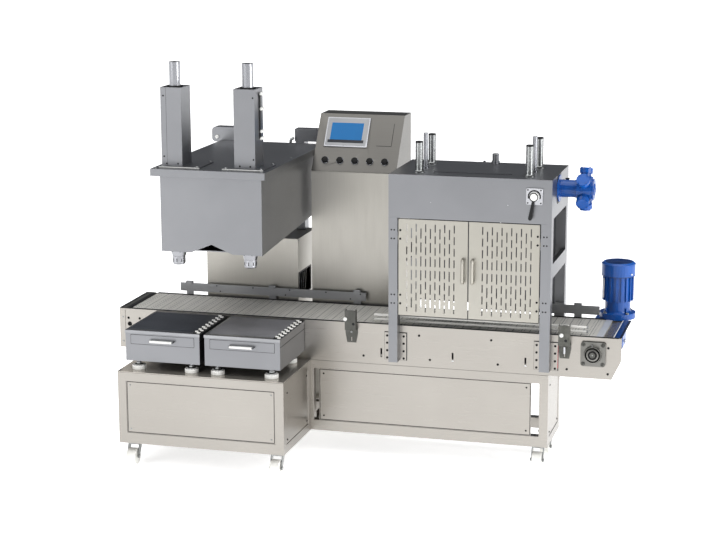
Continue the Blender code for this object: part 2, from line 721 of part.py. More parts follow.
def build_belt(inner_front, inner_back):
    """The belt round its two drums, with the drive shaft's bearing and the infeed's cover."""
    inner = DRUM_CENTRE_DROP - BELT_THICK

    def loop(radius):
        return (arc((TAIL_X, DRUM_Z), radius, 90, 270, BELT_STEPS)
                + arc((DRIVE_X, DRUM_Z), radius, -90, 90, BELT_STEPS))
    belt_front, belt_back = FRONT + BELT_MARGIN, BACK - BELT_MARGIN
    belt = prism("conveyor_belt", loop(DRUM_CENTRE_DROP), belt_front, belt_back, "y", BELT)
    cut(belt, prism("belt_inside", loop(inner), belt_front - PAST, belt_back + PAST, "y"))
    drum_front, drum_back = FRONT + PLATE + DRUM_MARGIN, BACK - PLATE - DRUM_MARGIN
    drums = (("drive_drum", DRIVE_X, DRUM_SHAFT, FRONT - BEARING_BOSS_OUT - SHAFT_OUT,
              BACK + GEARBOX_DEPTH + GEARBOX_SHAFT_OUT),
             ("tail_drum", TAIL_X, TAIL_SHAFT, inner_front, inner_back))
    for name, x, shaft, start, end in drums:
        drum = rod(name, inner - 2 * GAP, (x, drum_front, DRUM_Z), (x, drum_back, DRUM_Z), ZINC,
                   DRUM_SIDES)
        join(drum, rod("drum_shaft", shaft, (x, start, DRUM_Z), (x, end, DRUM_Z)))
    face = FRONT - GAP
    half = BEARING_SIZE / 2
    bearing = prism("flange_bearing", rounded((DRIVE_X - half, DRUM_Z - half),
                                              (DRIVE_X + half, DRUM_Z + half), BEARING_CORNER),
                    face - BEARING_FOOT, face, "y", ZINC)
    join(bearing, rod("bearing_boss", BEARING_BOSS, (DRIVE_X, face - BEARING_BOSS_OUT, DRUM_Z),
                      (DRIVE_X, face - SINK, DRUM_Z)))
    cut(bearing, rod("bearing_bore", DRUM_SHAFT + GAP,
                     (DRIVE_X, face - BEARING_BOSS_OUT - PAST, DRUM_Z), (DRIVE_X, face + PAST, DRUM_Z)))
    outside, inside = DRUM_CENTRE_DROP + COVER_RAISE, DRUM_CENTRE_DROP + 2 * GAP
    first = math.degrees(math.acos((LEFT + COVER_REACH - TAIL_X) / outside))
    last = math.degrees(math.acos((LEFT + GAP - TAIL_X) / outside))
    cover = (arc((TAIL_X, DRUM_Z), outside, first, last, COVER_STEPS)
             + arc((TAIL_X, DRUM_Z), inside, last, first, COVER_STEPS))
    prism("belt_end_cover", cover, inner_front, inner_back, "y", DARK)


def build_drive():
    """Worm gearbox on the conveyor's back plate, with its motor standing on it."""
    back = BACK + GAP
    motor_x = DRIVE_X + WORM_OFFSET
    gear_y = back + GEARBOX_DEPTH / 2
    top = DRUM_Z + GEARBOX_RISE
    outline = rounded((DRIVE_X - GEARBOX_WIDTH / 2, DRUM_Z - GEARBOX_DROP),
                      (motor_x + GEARBOX_PAST, top), GEARBOX_EDGE, 1)
    box = prism("gearbox", outline, back, back + GEARBOX_DEPTH, "y", BLUE)
    cut(box, rod("gearbox_bore", DRUM_SHAFT + GAP, (DRIVE_X, back - PAST, DRUM_Z),
                 (DRIVE_X, back + GEARBOX_DEPTH + PAST, DRUM_Z)))
    foot = top + GAP
    flange = foot + MOTOR_FLANGE_THICK
    neck = flange + MOTOR_NECK_HEIGHT
    body = neck + MOTOR_BODY_HEIGHT
    cap = body + MOTOR_CAP_HEIGHT
    profile = [(MOTOR_CAP_RADIUS - MOTOR_CAP_EDGE, cap), (MOTOR_CAP_RADIUS, cap - MOTOR_CAP_EDGE),
               (MOTOR_CAP_RADIUS, body), (MOTOR_BODY_RADIUS, body), (MOTOR_BODY_RADIUS, neck),
               (MOTOR_NECK_RADIUS, neck), (MOTOR_NECK_RADIUS, flange),
               (MOTOR_FLANGE_RADIUS, flange), (MOTOR_FLANGE_RADIUS, foot)]
    motor = turned("gearmotor", profile, (motor_x, gear_y, 0), BLUE, 36)
    reach = MOTOR_BODY_RADIUS + MOTOR_FIN
    fin_half = MOTOR_FIN_WIDTH / 2
    for number in range(MOTOR_FINS // 2):
        fin = block("motor_fin", (-reach, -fin_half, neck - SINK), (reach, fin_half, body + SINK))
        fin.rotation_euler = (0, 0, 2 * math.pi * (number + 0.5) / MOTOR_FINS)
        fin.location.x += motor_x
        fin.location.y += gear_y
        join(motor, fin)


def guide_rail(name, start, end, clamps):
    """A flat rail inside the back plate, on clamps that reach over the plate."""
    low = BELT_TOP + GUIDE_RAISE
    high = low + GUIDE_HEIGHT
    y = BACK - PLATE - GUIDE_BEFORE
    rail = block(name, (start, y, low), (end, y + GUIDE_THICK, high), COATED)
    back = BACK + GAP
    half = CLAMP_WIDTH / 2
    for x in clamps:
        join(rail, block("clamp_plate", (x - half, back, BELT_TOP - CLAMP_DROP),
                         (x + half, back + CLAMP_THICK, high + CLAMP_OVER)),
             block("clamp_head", (x - half, y + GUIDE_THICK / 2, high - CLAMP_UNDER),
                   (x + half, back + CLAMP_THICK / 2, high + CLAMP_OVER)))
    return rail


def build_guides():
    start = LEFT + GUIDE_LEFT_START
    end = start + GUIDE_LEFT_LENGTH
    guide_rail("back_guide_left", start, end,
               (start + GUIDE_CLAMP_IN, (start + end) / 2, end - GUIDE_CLAMP_IN))
    end = RIGHT - GUIDE_RIGHT_END
    rail = guide_rail("back_guide_right", end - GUIDE_RIGHT_LENGTH, end, (end - GUIDE_CLAMP_OUT,))
    leg = CAP_RIGHT - CAP_LEG_RIGHT / 2
    half = CLAMP_WIDTH / 2
    top = BELT_TOP + GUIDE_RAISE + GUIDE_HEIGHT
    join(rail, block("leg_pad", (leg - half, BACK - PLATE - GUIDE_BEFORE + GUIDE_THICK / 2,
                                 top - CLAMP_UNDER), (leg + half, BACK, top + CLAMP_OVER)))
    start, end = CAP_LEFT - ROD_BEFORE, RIGHT - ROD_END
    y = FRONT + ROD_SETBACK
    low, high = [BELT_TOP + level for level in ROD_LEVELS]
    guide = rod("front_guide", ROD_RADIUS, (start, y, low), (end, y, low), ZINC, ROD_SIDES)
    clamp = CAP_RIGHT + GUIDE_BRACKET_PAST
    leg = CAP_LEFT + CAP_LEG_LEFT / 2
    half = ARM_WIDTH / 2
    arm_low, arm_high = low - ROD_RADIUS - SINK, high + ROD_RADIUS + SINK
    join(guide, rod("upper_rod", ROD_RADIUS, (start, y, high), (end, y, high), sides=ROD_SIDES),
         channel_bracket("clamp", clamp, GUIDE_BRACKET_LOWER),
         block("clamp_arm", (clamp - half, FRONT - BRACKET_OUT + BRACKET_SHEET / 2, arm_low),
               (clamp + half, y, arm_high)),
         block("leg_arm", (leg - half, FRONT, arm_low), (leg + half, y, arm_high)))
    channel_bracket("stop_bracket", CAP_LEFT - STOP_BEFORE, 0.0, COATED)


def channel_bracket(name, x, lower, finish=None):
    """Upright channel whose web stands forward of the conveyor, on a foot plate with a slot."""
    half, sheet = BRACKET_WIDTH / 2, BRACKET_SHEET
    face, out = FRONT - GAP, FRONT - BRACKET_OUT
    low, high = BELT_TOP - BRACKET_DROP - lower, BELT_TOP + BRACKET_RISE - lower
    web_low = low + BRACKET_WEB_LOW
    base, toe = BRACKET_BASE / 2, BRACKET_TOE / 2
    outline = [(x - toe, low), (x + toe, low), (x + base, low + BRACKET_TAPER_HIGH),
               (x + base, low + BRACKET_BASE_HIGH), (x + half, low + BRACKET_SHOULDER),
               (x - half, low + BRACKET_SHOULDER), (x - base, low + BRACKET_BASE_HIGH),
               (x - base, low + BRACKET_TAPER_HIGH)]
    width, slot_low, slot_high = BRACKET_SLOT
    channel = block("channel", (x - half, out, web_low), (x + half, face - SINK / 2, high))
    cut(channel, block("channel_room", (x - half + sheet, out + sheet, web_low - PAST),
                       (x + half - sheet, face + PAST, high + PAST)))
    bracket = prism(name, outline, face - sheet, face, "y", finish)
    join(bracket, channel)
    cut(bracket, block("foot_slot", (x - width / 2, out, low + slot_low),
                       (x + width / 2, face + PAST, low + slot_high)))
    return bracket


def build_cabinets():
    floor = CASTER_HEIGHT + TUBE + GAP
    right = LOWER_LEFT + LOWER_WIDTH
    sheet = CABINET_SHEET
    lower = block("lower_cabinet", (LOWER_LEFT, CABINET_FRONT, floor), (right, REAR, LOWER_TOP), STEEL)
    cut(lower, block("lower_room", (LOWER_LEFT + sheet, CABINET_FRONT + sheet, floor + sheet),
                     (right - sheet, REAR - sheet, LOWER_TOP - sheet)),
        block("cable_hatch", (right - sheet - PAST, CABINET_FRONT + sheet + HATCH_SETBACK, HATCH_LOW),
              (right + PAST, CABINET_FRONT + HATCH_DEPTH, HATCH_LOW + HATCH_HEIGHT)))
    block("tall_cabinet", (TALL_LEFT, CABINET_FRONT, floor), (TALL_RIGHT, REAR, TALL_TOP), STEEL)
    low = TALL_TOP + GAP
    high = low + CONSOLE_HEIGHT
    slope_top = CABINET_FRONT + CONSOLE_SLOPE_RUN
    outline = [(CABINET_FRONT, low), (REAR, low), (REAR, high), (slope_top, high)]
    console = prism("operator_console", outline, TALL_LEFT, TALL_RIGHT, "x", COATED)
    tilt = math.atan2(CONSOLE_SLOPE_RUN, CONSOLE_HEIGHT)
    down = Vector((0, -math.sin(tilt), -math.cos(tilt)))
    out = Vector((0, -math.cos(tilt), math.sin(tilt)))
    corner = Vector((TALL_LEFT, slope_top, high))
    bezel = block("screen_bezel", (-BEZEL_WIDTH / 2, -BEZEL_THICK, -BEZEL_HEIGHT / 2),
                  (BEZEL_WIDTH / 2, BEZEL_THICK, BEZEL_HEIGHT / 2))
    bezel.location = corner + Vector((BEZEL_CENTRE[0], 0, 0)) + down * BEZEL_CENTRE[1]
    bezel.rotation_euler = (-tilt, 0, 0)
    join(console, bezel)
    slope = math.hypot(CONSOLE_SLOPE_RUN, CONSOLE_HEIGHT)
    for number in range(BUTTONS):
        across = Vector((BUTTON_FIRST + number * BUTTON_PITCH, 0, 0))
        base = corner + across + down * (slope - BUTTON_UP)
        join(console, rod("push_button", BUTTON_RADIUS, base - out * SINK, base + out * BUTTON_OUT,
                          sides=16))


def housing_edge(y):
    """Height of the filling housing's lower edge at a place across the machine."""
    return HOUSING_LOW + HOUSING_FALL * (y - HOUSING_FRONT) / (HOUSING_BACK - HOUSING_FRONT)


def build_housing():
    sheet = HOUSING_SHEET
    front, back = HOUSING_FRONT + sheet, HOUSING_BACK - sheet
    outline = [(HOUSING_FRONT, HOUSING_LOW), (HOUSING_BACK, HOUSING_LOW + HOUSING_FALL),
               (HOUSING_BACK, HOUSING_TOP), (HOUSING_FRONT, HOUSING_TOP)]
    housing = prism("filling_housing", outline, HOUSING_LEFT, HOUSING_RIGHT, "x", COATED)
    floor_front, floor_back = housing_edge(front) + HOUSING_FLOOR, housing_edge(back) + HOUSING_FLOOR
    room = [(front, floor_front), (back, floor_back), (back, HOUSING_TOP + PAST),
            (front, HOUSING_TOP + PAST)]
    under = [(front, housing_edge(front) - PAST), (back, housing_edge(back) - PAST),
             (back, floor_back - sheet), (front, floor_front - sheet)]
    for name, space in (("housing_room", room), ("housing_under", under)):
        cut(housing, prism(name, space, HOUSING_LEFT + sheet, HOUSING_RIGHT - sheet, "x"))
    notch_x = (HOUSING_LEFT + HOUSING_RIGHT) / 2
    notch_half = (1 + NOTCH_PAST) * NOTCH_HALF
    notch_low = HOUSING_LOW - NOTCH_PAST * NOTCH_RISE
    notch = [(notch_x - notch_half, notch_low), (notch_x + notch_half, notch_low),
             (notch_x, HOUSING_LOW + NOTCH_RISE)]
    cut(housing, prism("notch", notch, HOUSING_FRONT - PAST, front + RUNNING, "y"))
    lid_top = HOUSING_TOP + GAP + LID_SHEET
    lid_low = lid_top - LID_SKIRT
    low = Vector((HOUSING_LEFT - LID_LIP, HOUSING_FRONT - LID_LIP, lid_low))
    high = Vector((HOUSING_RIGHT + LID_RIGHT_LIP, HOUSING_BACK + LID_LIP, lid_top))
    lid = block("housing_lid", low, high, COATED)
    inside = Vector((LID_SHEET, LID_SHEET, -PAST))
    cut(lid, block("lid_room", low + inside, high - Vector((LID_SHEET, LID_SHEET, LID_SHEET))))
    for number, side in enumerate(("left", "right")):
        x = HOUSING_LEFT + LANCE_INSET + number * LANCE_SPACING
        for piece in (housing, lid):
            cut(piece, rod("lance_bore", LANCE_RADIUS + RUNNING, (x, LANCE_Y, HOUSING_LOW - PAST),
                           (x, LANCE_Y, lid_top + PAST)))
        build_lance(side, x, FOOT_SHIFT[number], lid_top + GAP)
    build_rear_support()


def build_lance(side, x, shift, foot):
    """A lift column on its foot plate, and the lance that runs through it."""
    high = foot + COLUMN_HEIGHT
    left, right = x - COLUMN_WIDTH / 2, x + COLUMN_WIDTH / 2
    front, back = LANCE_Y - COLUMN_DEEP / 2, LANCE_Y + COLUMN_DEEP / 2
    column = block("lift_column_" + side, (left, front, foot), (right, back, high), COATED)
    plate_left, plate_front = x + shift - FOOT_PLATE / 2, front - FOOT_OUT
    join(column, block("foot_plate", (plate_left, plate_front, foot),
                       (plate_left + FOOT_PLATE, plate_front + FOOT_PLATE, foot + FOOT_THICK)))
    sheet, rim = COLUMN_SHEET, COLUMN_RIM
    cut(column, block("column_room", (left + sheet, front + sheet, foot + FOOT_THICK + SINK),
                      (right - sheet, back - sheet, high - COLUMN_CAP)),
        block("column_recess", (left + rim, front + rim, high - COLUMN_RECESS),
              (right - rim, back - rim, high + PAST)),
        rod("column_bore", LANCE_RADIUS + RUNNING, (x, LANCE_Y, foot - PAST), (x, LANCE_Y, high + PAST)))
    top = high + LANCE_ABOVE
    nozzle = [(radius, HOUSING_LOW + height) for radius, height in NOZZLE]
    profile = [(LANCE_BORE, top - LANCE_BORE_DEEP), (LANCE_BORE, top), (LANCE_RADIUS, top),
               (LANCE_RADIUS, nozzle[0][1])] + nozzle
    turned("filling_lance_" + side, profile, (x, LANCE_Y, 0), ZINC, NOZZLE_SIDES)


def build_rear_support():
    """Two posts behind the housing with a beam between them and a head on each."""
    post_low = LOWER_TOP + GAP
    front = HOUSING_BACK + LID_LIP + GAP
    head_right = TALL_LEFT - GAP
    head_left = head_right - RIGHT_HEAD[0]
    right_post = head_left + POST_HEAD_SPACE
    right_top, left_top = HOUSING_TOP + RIGHT_HEAD[1], HOUSING_TOP + LEFT_HEAD[1]
    left_edge = HOUSING_LEFT + POST_WIDTH
    support = block("rear_support", (right_post, front, post_low),
                    (right_post + POST_WIDTH, REAR, right_top), COATED)
    start, low, corner = left_edge - LEFT_HEAD[0], left_top - LEFT_HEAD[2], LEFT_HEAD_CORNER
    left_head = (arc((start + corner, left_top - corner), corner, 90, 180, CORNER_STEPS)
                 + arc((start + corner, low + corner), corner, 180, 270, CORNER_STEPS)
                 + [(left_edge, low), (left_edge, left_top)])
    beam = HOUSING_LOW + BEAM_RAISE
    join(support, block("right_head", (head_left, front, right_top - RIGHT_HEAD[2]),
                        (head_right, REAR, right_top)),
         block("cross_beam", (HOUSING_LEFT, HOUSING_BACK + GAP, beam),
               (right_post + POST_WIDTH, REAR, beam + BEAM_HEIGHT)),
         block("left_post", (HOUSING_LEFT, front, post_low), (left_edge, REAR, left_top - SINK)),
         prism("left_head", left_head, front, REAR, "y"))


def build_scale(side, left):
    right = left + SCALE_WIDTH
    front = TABLE_FRONT + SCALE_SETBACK
    back = front + SCALE_DEPTH
    low = BASE_TOP + SCALE_LIFT
    top = low + SCALE_HEIGHT
    body = block("scale_body_" + side, (left, front, low), (right, back, top), COATED)
    mouth = (left + TRAY_MARGIN, right - TRAY_MARGIN)
    tray_low = low + TRAY_LIFT
    cut(body, block("tray_mouth", (mouth[0], front - PAST, tray_low),
                    (mouth[1], front + TRAY_DEPTH + CLEAR, tray_low + TRAY_HEIGHT)))
    foot = BASE_TOP + GAP
    for x in (left + FOOT_INSET, right - FOOT_INSET):
        for y in (front + FOOT_FRONT, back - FOOT_REAR):
            join(body, rod("foot_stud", STUD_RADIUS, (x, y, foot + SINK), (x, y, low + SINK), sides=8),
                 rod("foot_pad", PAD_RADIUS, (x, y, foot), (x, y, foot + PAD_HEIGHT), sides=16))
    lip = PLATFORM_LIP
    plate_top = top + PLATFORM_THICK
    platform = block("scale_platform_" + side, (left - lip, front - lip, top + GAP),
                     (right + lip, back + lip, plate_top), COATED)
    cut(platform, block("mat_recess", (left + MAT_EDGE, front + MAT_FRONT, plate_top - MAT_DEEP),
                        (right - MAT_RIGHT, back - MAT_EDGE, plate_top + PAST)))
    tray_left, tray_right = mouth[0] + CLEAR, mouth[1] - CLEAR
    tray_back = front + TRAY_DEPTH
    low = tray_low + GAP
    high = tray_low + TRAY_HEIGHT - CLEAR
    sheet = TRAY_SHEET
    tray = block("drip_tray_" + side, (tray_left, front, low), (tray_right, tray_back, high), COATED)
    cut(tray, block("tray_room", (tray_left + sheet, front + sheet, low + sheet),
                    (tray_right - sheet, tray_back - sheet, high + PAST)))
    start, end = (left + right - TRAY_HANDLE) / 2, (left + right + TRAY_HANDLE) / 2
    z = (low + high) / 2
    face, out = front + SINK, front - TRAY_HANDLE_OUT
    join(tray, wire("tray_handle", [(start, face, z), (start, out, z), (end, out, z), (end, face, z)],
                    TRAY_HANDLE_RADIUS))


def door_slots(name, left, top):
    """Columns of upright slots, long and short by turns, as one cutter."""
    body = bmesh.new()
    for column in range(SLOT_COLUMNS):
        count, length, pitch, drop = SLOTS_EVEN if column % 2 else SLOTS_ODD
        x = left + column * SLOT_PITCH
        for row in range(count):
            high = top - drop - row * pitch
            made = bmesh.ops.create_cube(body, size=1.0)["verts"]
            bmesh.ops.scale(body, vec=(SLOT_WIDTH, 2 * PAST, length), verts=made)
            bmesh.ops.translate(body, vec=(x, CAP_FRONT, high - length / 2), verts=made)
    return add_object(name, mesh_from(name, body), None)


def build_capping():
    low, top = BASE_TOP + CAP_LEG_LIFT, CAP_HEAD_LOW
    front, back, face = CAP_FRONT, CAP_BACK, FRONT - GAP
    door_left, door_right = CAP_LEFT + CAP_LEG_LEFT, CAP_RIGHT - CAP_LEG_RIGHT
    frame = block("capping_frame", (CAP_LEFT, front, low), (door_left, face, top), COATED)
    bar_front, bar_back = front + CAP_BAR_SETBACK, back - CAP_BAR_SETBACK
    bar_low, bar_high = CAP_BAR_LOW, CAP_BAR_LOW + CAP_BAR_HEIGHT
    mount_front, mount_high = face - MOUNT_THICK, low + MOUNT_HEIGHT
    pieces = [
        block("leg", (door_right, front, low), (CAP_RIGHT, face, top)),
        block("leg", (CAP_LEFT, BACK + GAP, low), (door_left, back, top)),
        block("leg", (door_right, BACK + GAP, low), (CAP_RIGHT, back, top)),
        block("side_bar", (CAP_LEFT, bar_front, bar_low), (CAP_LEFT + CAP_BAR_THICK, bar_back, bar_high)),
        block("side_bar", (CAP_RIGHT - CAP_BAR_THICK, bar_front, bar_low), (CAP_RIGHT, bar_back, bar_high)),
        block("back_bar", (door_left - SINK, back - CAP_BAR_THICK, bar_low),
              (door_right + SINK, back, bar_high)),
        block("mounting_plate", (CAP_LEFT - MOUNT_PAST, mount_front, low),
              (door_left + MOUNT_PAST, face, mount_high)),
        block("mounting_plate", (door_right - MOUNT_PAST, mount_front, low),
              (CAP_RIGHT + MOUNT_PAST, face, mount_high)),
    ]
    pin_y = front + DOOR_SHEET / 2
    leaf_half = HINGE_LEAF_THICK / 2
    hinge_z = (DOOR_LOW + HINGE_INSET, CAP_HEAD_LOW - HINGE_INSET)
    hinges = (door_left + DOOR_GAP / 2, door_right - DOOR_GAP / 2)
    reach = DOOR_GAP / 2 + HINGE_LEAF
    for x, leaf in ((hinges[0], hinges[0] - reach), (hinges[1], hinges[1] + reach)):
        leaf_left, leaf_right = sorted((x, leaf))
        for z in hinge_z:
            for start in (z - HINGE_LENGTH / 2, z + HINGE_LENGTH / 2 - HINGE_ENDS):
                stop = start + HINGE_ENDS
                pieces.append(rod("hinge_pin", HINGE_RADIUS, (x, pin_y, start), (x, pin_y, stop), sides=12))
                pieces.append(block("hinge_leaf", (leaf_left, pin_y - leaf_half, start),
                                    (leaf_right, pin_y + leaf_half, stop)))
    join(frame, *pieces)
    build_capping_head(front, back)
    panel_left, panel_right = door_left + GAP, door_right - GAP
    step = CAP_LEFT + CAP_BACK_STEP
    panel_y = BACK + CAP_BACK_IN
    panel = prism("capping_back_panel", [(panel_left, CAP_BACK_LOW), (step, CAP_BACK_LOW),
                                         (step, CAP_BACK_STEP_LOW), (panel_right, CAP_BACK_STEP_LOW),
                                         (panel_right, top), (panel_left, top)],
                  panel_y, panel_y + CAP_BACK_SHEET, "y", COATED)
    slit, slit_width, slit_top = CAP_BACK_SLIT
    slit_left = CAP_LEFT + slit
    cut(panel, block("panel_slit", (slit_left, panel_y - PAST, CAP_BACK_STEP_LOW - PAST),
                     (slit_left + slit_width, panel_y + PAST, top - slit_top)))
    middle = (door_left + door_right) / 2
    build_door("left", door_left + DOOR_GAP, middle - DOOR_GAP / 2, hinges[0], hinge_z)
    build_door("right", middle + DOOR_GAP / 2, door_right - DOOR_GAP, hinges[1], hinge_z)
    build_air_motor()


def build_door(side, low, high, hinge, hinge_z):
    """A slotted door with its pull beside the middle and half of each hinge at its outer edge."""
    front = CAP_FRONT
    top = CAP_HEAD_LOW - DOOR_TOP_GAP
    door = block("capping_door_" + side, (low, front, DOOR_LOW), (high, front + DOOR_SHEET, top), STEEL)
    pin_y = front + DOOR_SHEET / 2
    leaf_half = HINGE_LEAF_THICK / 2
    reach = DOOR_GAP / 2 + HINGE_LEAF
    slots_wide = (SLOT_COLUMNS - 1) * SLOT_PITCH
    leaf, first_slot, pull = hinge + reach, low + SLOT_FIRST, high - PULL_INSET
    if hinge > high:
        leaf, first_slot, pull = hinge - reach, high - SLOT_FIRST - slots_wide, low + PULL_INSET
    leaf_left, leaf_right = sorted((hinge, leaf))
    half = HINGE_LENGTH / 2 - HINGE_ENDS - GAP
    for z in hinge_z:
        join(door, rod("knuckle", HINGE_RADIUS, (hinge, pin_y, z - half), (hinge, pin_y, z + half),
                       sides=12),
             block("door_leaf", (leaf_left, pin_y - leaf_half, z - half),
                   (leaf_right, pin_y + leaf_half, z + half)))
    cut(door, door_slots("slots_" + side, first_slot, top - SLOT_TOP))
    pull_high = CAP_HEAD_LOW - PULL_DROP + PULL_HEIGHT / 2
    pull_low = pull_high - PULL_HEIGHT
    face, out = front + SINK, front - PULL_OUT
    join(door, wire("pull", [(pull, face, pull_high), (pull, out, pull_high - PULL_BEND),
                             (pull, out, pull_low + PULL_BEND), (pull, face, pull_low)], PULL_RADIUS))


def build_capping_head(front, back):
    low, high = CAP_HEAD_LOW + GAP, CAP_TOP
    sheet = CAP_SHEET
    head = block("capping_head", (CAP_LEFT, front, low), (CAP_RIGHT, back, high), COATED)
    cut(head, block("head_room", (CAP_LEFT + sheet, front + sheet, low - PAST),
                    (CAP_RIGHT - sheet, back - sheet, high - sheet)),
        block("side_relief", (CAP_LEFT - PAST, FRONT, low - PAST),
              (CAP_RIGHT + PAST, BACK, low + CAP_SIDE_RISE)))
    foot = high - SINK
    uprights = [(CAP_LEFT + STUB[0], back - STUB[1], STUB_RADIUS, STUB_RISE),
                (CAP_LEFT + STUB[0], back - STUB[1], *STUB_FLANGE),
                (CAP_LEFT + STUD_KNOB[0], back - STUD_KNOB[1], *STUD_KNOB[2:])]
    for x in (CAP_LEFT + THREADED_X, CAP_RIGHT - THREADED_X):
        uprights += [(x, front + y, THREADED_RADIUS, THREADED_RISE) for y in THREADED_Y]
        uprights.append((x, front + PLAIN_Y, PLAIN_RADIUS, PLAIN_RISE))
    for x, y, radius, rise in uprights:
        join(head, rod("upright", radius, (x, y, foot), (x, y, high + rise), sides=POST_SIDES))
    start, end, strip = HEAD_STRIP
    width, rise = HEAD_STRIP_SIZE
    join(head, block("head_strip", (CAP_LEFT + start, front + strip, foot),
                     (CAP_LEFT + end, front + strip + width, high + rise)))
    x, z = CAP_RIGHT - SELECTOR_IN, CAP_HEAD_LOW + SELECTOR_RAISE
    half = SELECTOR_SIZE / 2
    face = front - SELECTOR_THICK
    join(head, block("selector_plate", (x - half, face, z - half), (x + half, front + SINK, z + half)))
    lever = rod("selector_lever", KNOB_RADIUS, (x, face - GAP, z), (x, face - GAP - KNOB_OUT, z), DARK, 20)
    narrow, wide = LEVER_WIDTHS[0] / 2, LEVER_WIDTHS[1] / 2
    drop = [(-narrow, 0)] + arc((0, wide - LEVER_LENGTH), wide, 180, 360, CORNER_STEPS) + [(narrow, 0)]
    lean = Matrix.Rotation(-math.radians(LEVER_LEAN), 2)
    outline = [tuple(Vector((x, z)) + lean @ Vector(point)) for point in drop]
    arm = face - GAP - KNOB_OUT + SINK
    join(lever, prism("lever_arm", outline, arm, arm + LEVER_THICK, "y"))


def build_air_motor():
    """Radial piston motor lying on its axis, on the capping unit's right side."""
    start = CAP_RIGHT + GAP
    flange = start + AIR_FLANGE[1]
    barrel = flange + AIR_BARREL[1]
    crank = barrel + AIR_CRANK[1]
    y, z = CAP_FRONT + AIR_Y, CAP_HEAD_LOW + AIR_RAISE
    profile = [(AIR_CAP[0], crank + AIR_CAP[1]), (AIR_CAP[0], crank), (AIR_CRANK[0], crank),
               (AIR_CRANK[0], barrel), (AIR_BARREL[0], barrel), (AIR_BARREL[0], flange),
               (AIR_FLANGE[0], flange), (AIR_FLANGE[0], start)]
    motor = turned("air_motor", profile, (0, y, z), BLUE, 24, "X")
    middle = Vector(((barrel + crank) / 2, y, z))
    for number in range(AIR_CYLINDERS):
        angle = 2 * math.pi * number / AIR_CYLINDERS
        way = Vector((0, math.cos(angle), math.sin(angle)))
        shoulder = middle + way * AIR_CYLINDER[1]
        join(motor, rod("air_cylinder", AIR_CYLINDER[0], middle + way * AIR_CYLINDER_ROOT, shoulder,
                        sides=AIR_CYLINDER_SIDES),
             rod("cylinder_head", AIR_CYLINDER_HEAD[0], shoulder - way * SINK,
                 middle + way * AIR_CYLINDER_HEAD[1], sides=AIR_CYLINDER_SIDES))


build_base()
for index, (caster_x, caster_y) in enumerate(TABLE_CASTERS + MAIN_CASTERS):
    build_caster(str(index + 1), caster_x, caster_y)
build_conveyor()
build_drive()
build_guides()
build_cabinets()
build_housing()
scale_left = FRAME_LEFT + SCALE_INSET
build_scale("left", scale_left)
build_scale("right", scale_left + SCALE_WIDTH + SCALE_SPACE)
build_capping()
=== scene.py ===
"""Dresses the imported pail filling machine: its camera, floor and light, the finish of every
solid, and the fine pieces that the solids leave out. Metres, +Z up, in the frame of the part:
+X runs along the conveyor towards the drive, and +Y away from the operator.
Profiles of turned pieces and sizes of plates are in millimetres."""
import math

import bpy
import bmesh
import numpy as np
from mathutils import Matrix, Vector


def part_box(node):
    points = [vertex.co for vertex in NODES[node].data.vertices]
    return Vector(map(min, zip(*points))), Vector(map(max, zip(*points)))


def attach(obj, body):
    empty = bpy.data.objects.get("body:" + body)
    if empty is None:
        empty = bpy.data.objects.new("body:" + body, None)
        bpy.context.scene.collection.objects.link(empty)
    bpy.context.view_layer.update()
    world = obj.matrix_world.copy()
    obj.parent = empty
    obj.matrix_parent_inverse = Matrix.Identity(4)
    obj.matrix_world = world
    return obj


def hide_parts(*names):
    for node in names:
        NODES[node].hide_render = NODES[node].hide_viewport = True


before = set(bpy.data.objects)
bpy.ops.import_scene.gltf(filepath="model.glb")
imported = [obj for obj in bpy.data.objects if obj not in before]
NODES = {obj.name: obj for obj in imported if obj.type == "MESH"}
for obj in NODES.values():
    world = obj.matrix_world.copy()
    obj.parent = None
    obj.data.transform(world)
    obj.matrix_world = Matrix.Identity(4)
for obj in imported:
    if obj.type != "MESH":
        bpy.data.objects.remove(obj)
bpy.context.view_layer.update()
SCENE = bpy.context.scene
BOX = {name: np.array([tuple(corner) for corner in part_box(name)]) for name in NODES}

X, Y, Z = np.eye(3)
FRONT = BOX["conveyor_front_plate"][0, 1]       # conveyor's front face
BELT_TOP = BOX["conveyor_front_plate"][1, 2]
CAP_FACE = BOX["capping_head"][0, 1]            # capping head's front face
HEAD_TOP = 1.328                                # and its upper face
TABLE_LEVEL = BOX["table_top"][1, 2]
LID_TOP = BOX["housing_lid"][1, 2]


# finishes
def linear(hex_colour):
    """An sRGB hex colour as linear light, with alpha 1."""
    values = np.array([int(hex_colour[i:i + 2], 16) / 255 for i in (1, 3, 5)])
    low = values / 12.92
    high = ((values + 0.055) / 1.055) ** 2.4
    return (*[float(value) for value in np.where(values <= 0.04045, low, high)], 1.0)


def add_node(tree, kind, settings=None, links=None):
    """Adds a shader node: settings are its attributes or, by socket name or number, its values,
    and links are the output sockets that feed its inputs."""
    node = tree.nodes.new("ShaderNode" + kind)
    for key, value in (settings or {}).items():
        if isinstance(key, str) and hasattr(node, key):
            setattr(node, key, value)
        else:
            node.inputs[key].default_value = value
    for key, source in (links or {}).items():
        tree.links.new(source, node.inputs[key])
    return node


def new_material(name, settings):
    """A material, its node tree and its shader, which takes these settings."""
    made = bpy.data.materials.new(name)
    made.use_nodes = True
    tree = made.node_tree
    tree.nodes.clear()
    output = add_node(tree, "OutputMaterial")
    shader = add_node(tree, "BsdfPrincipled", settings)
    tree.links.new(shader.outputs[0], output.inputs[0])
    return made, tree, shader


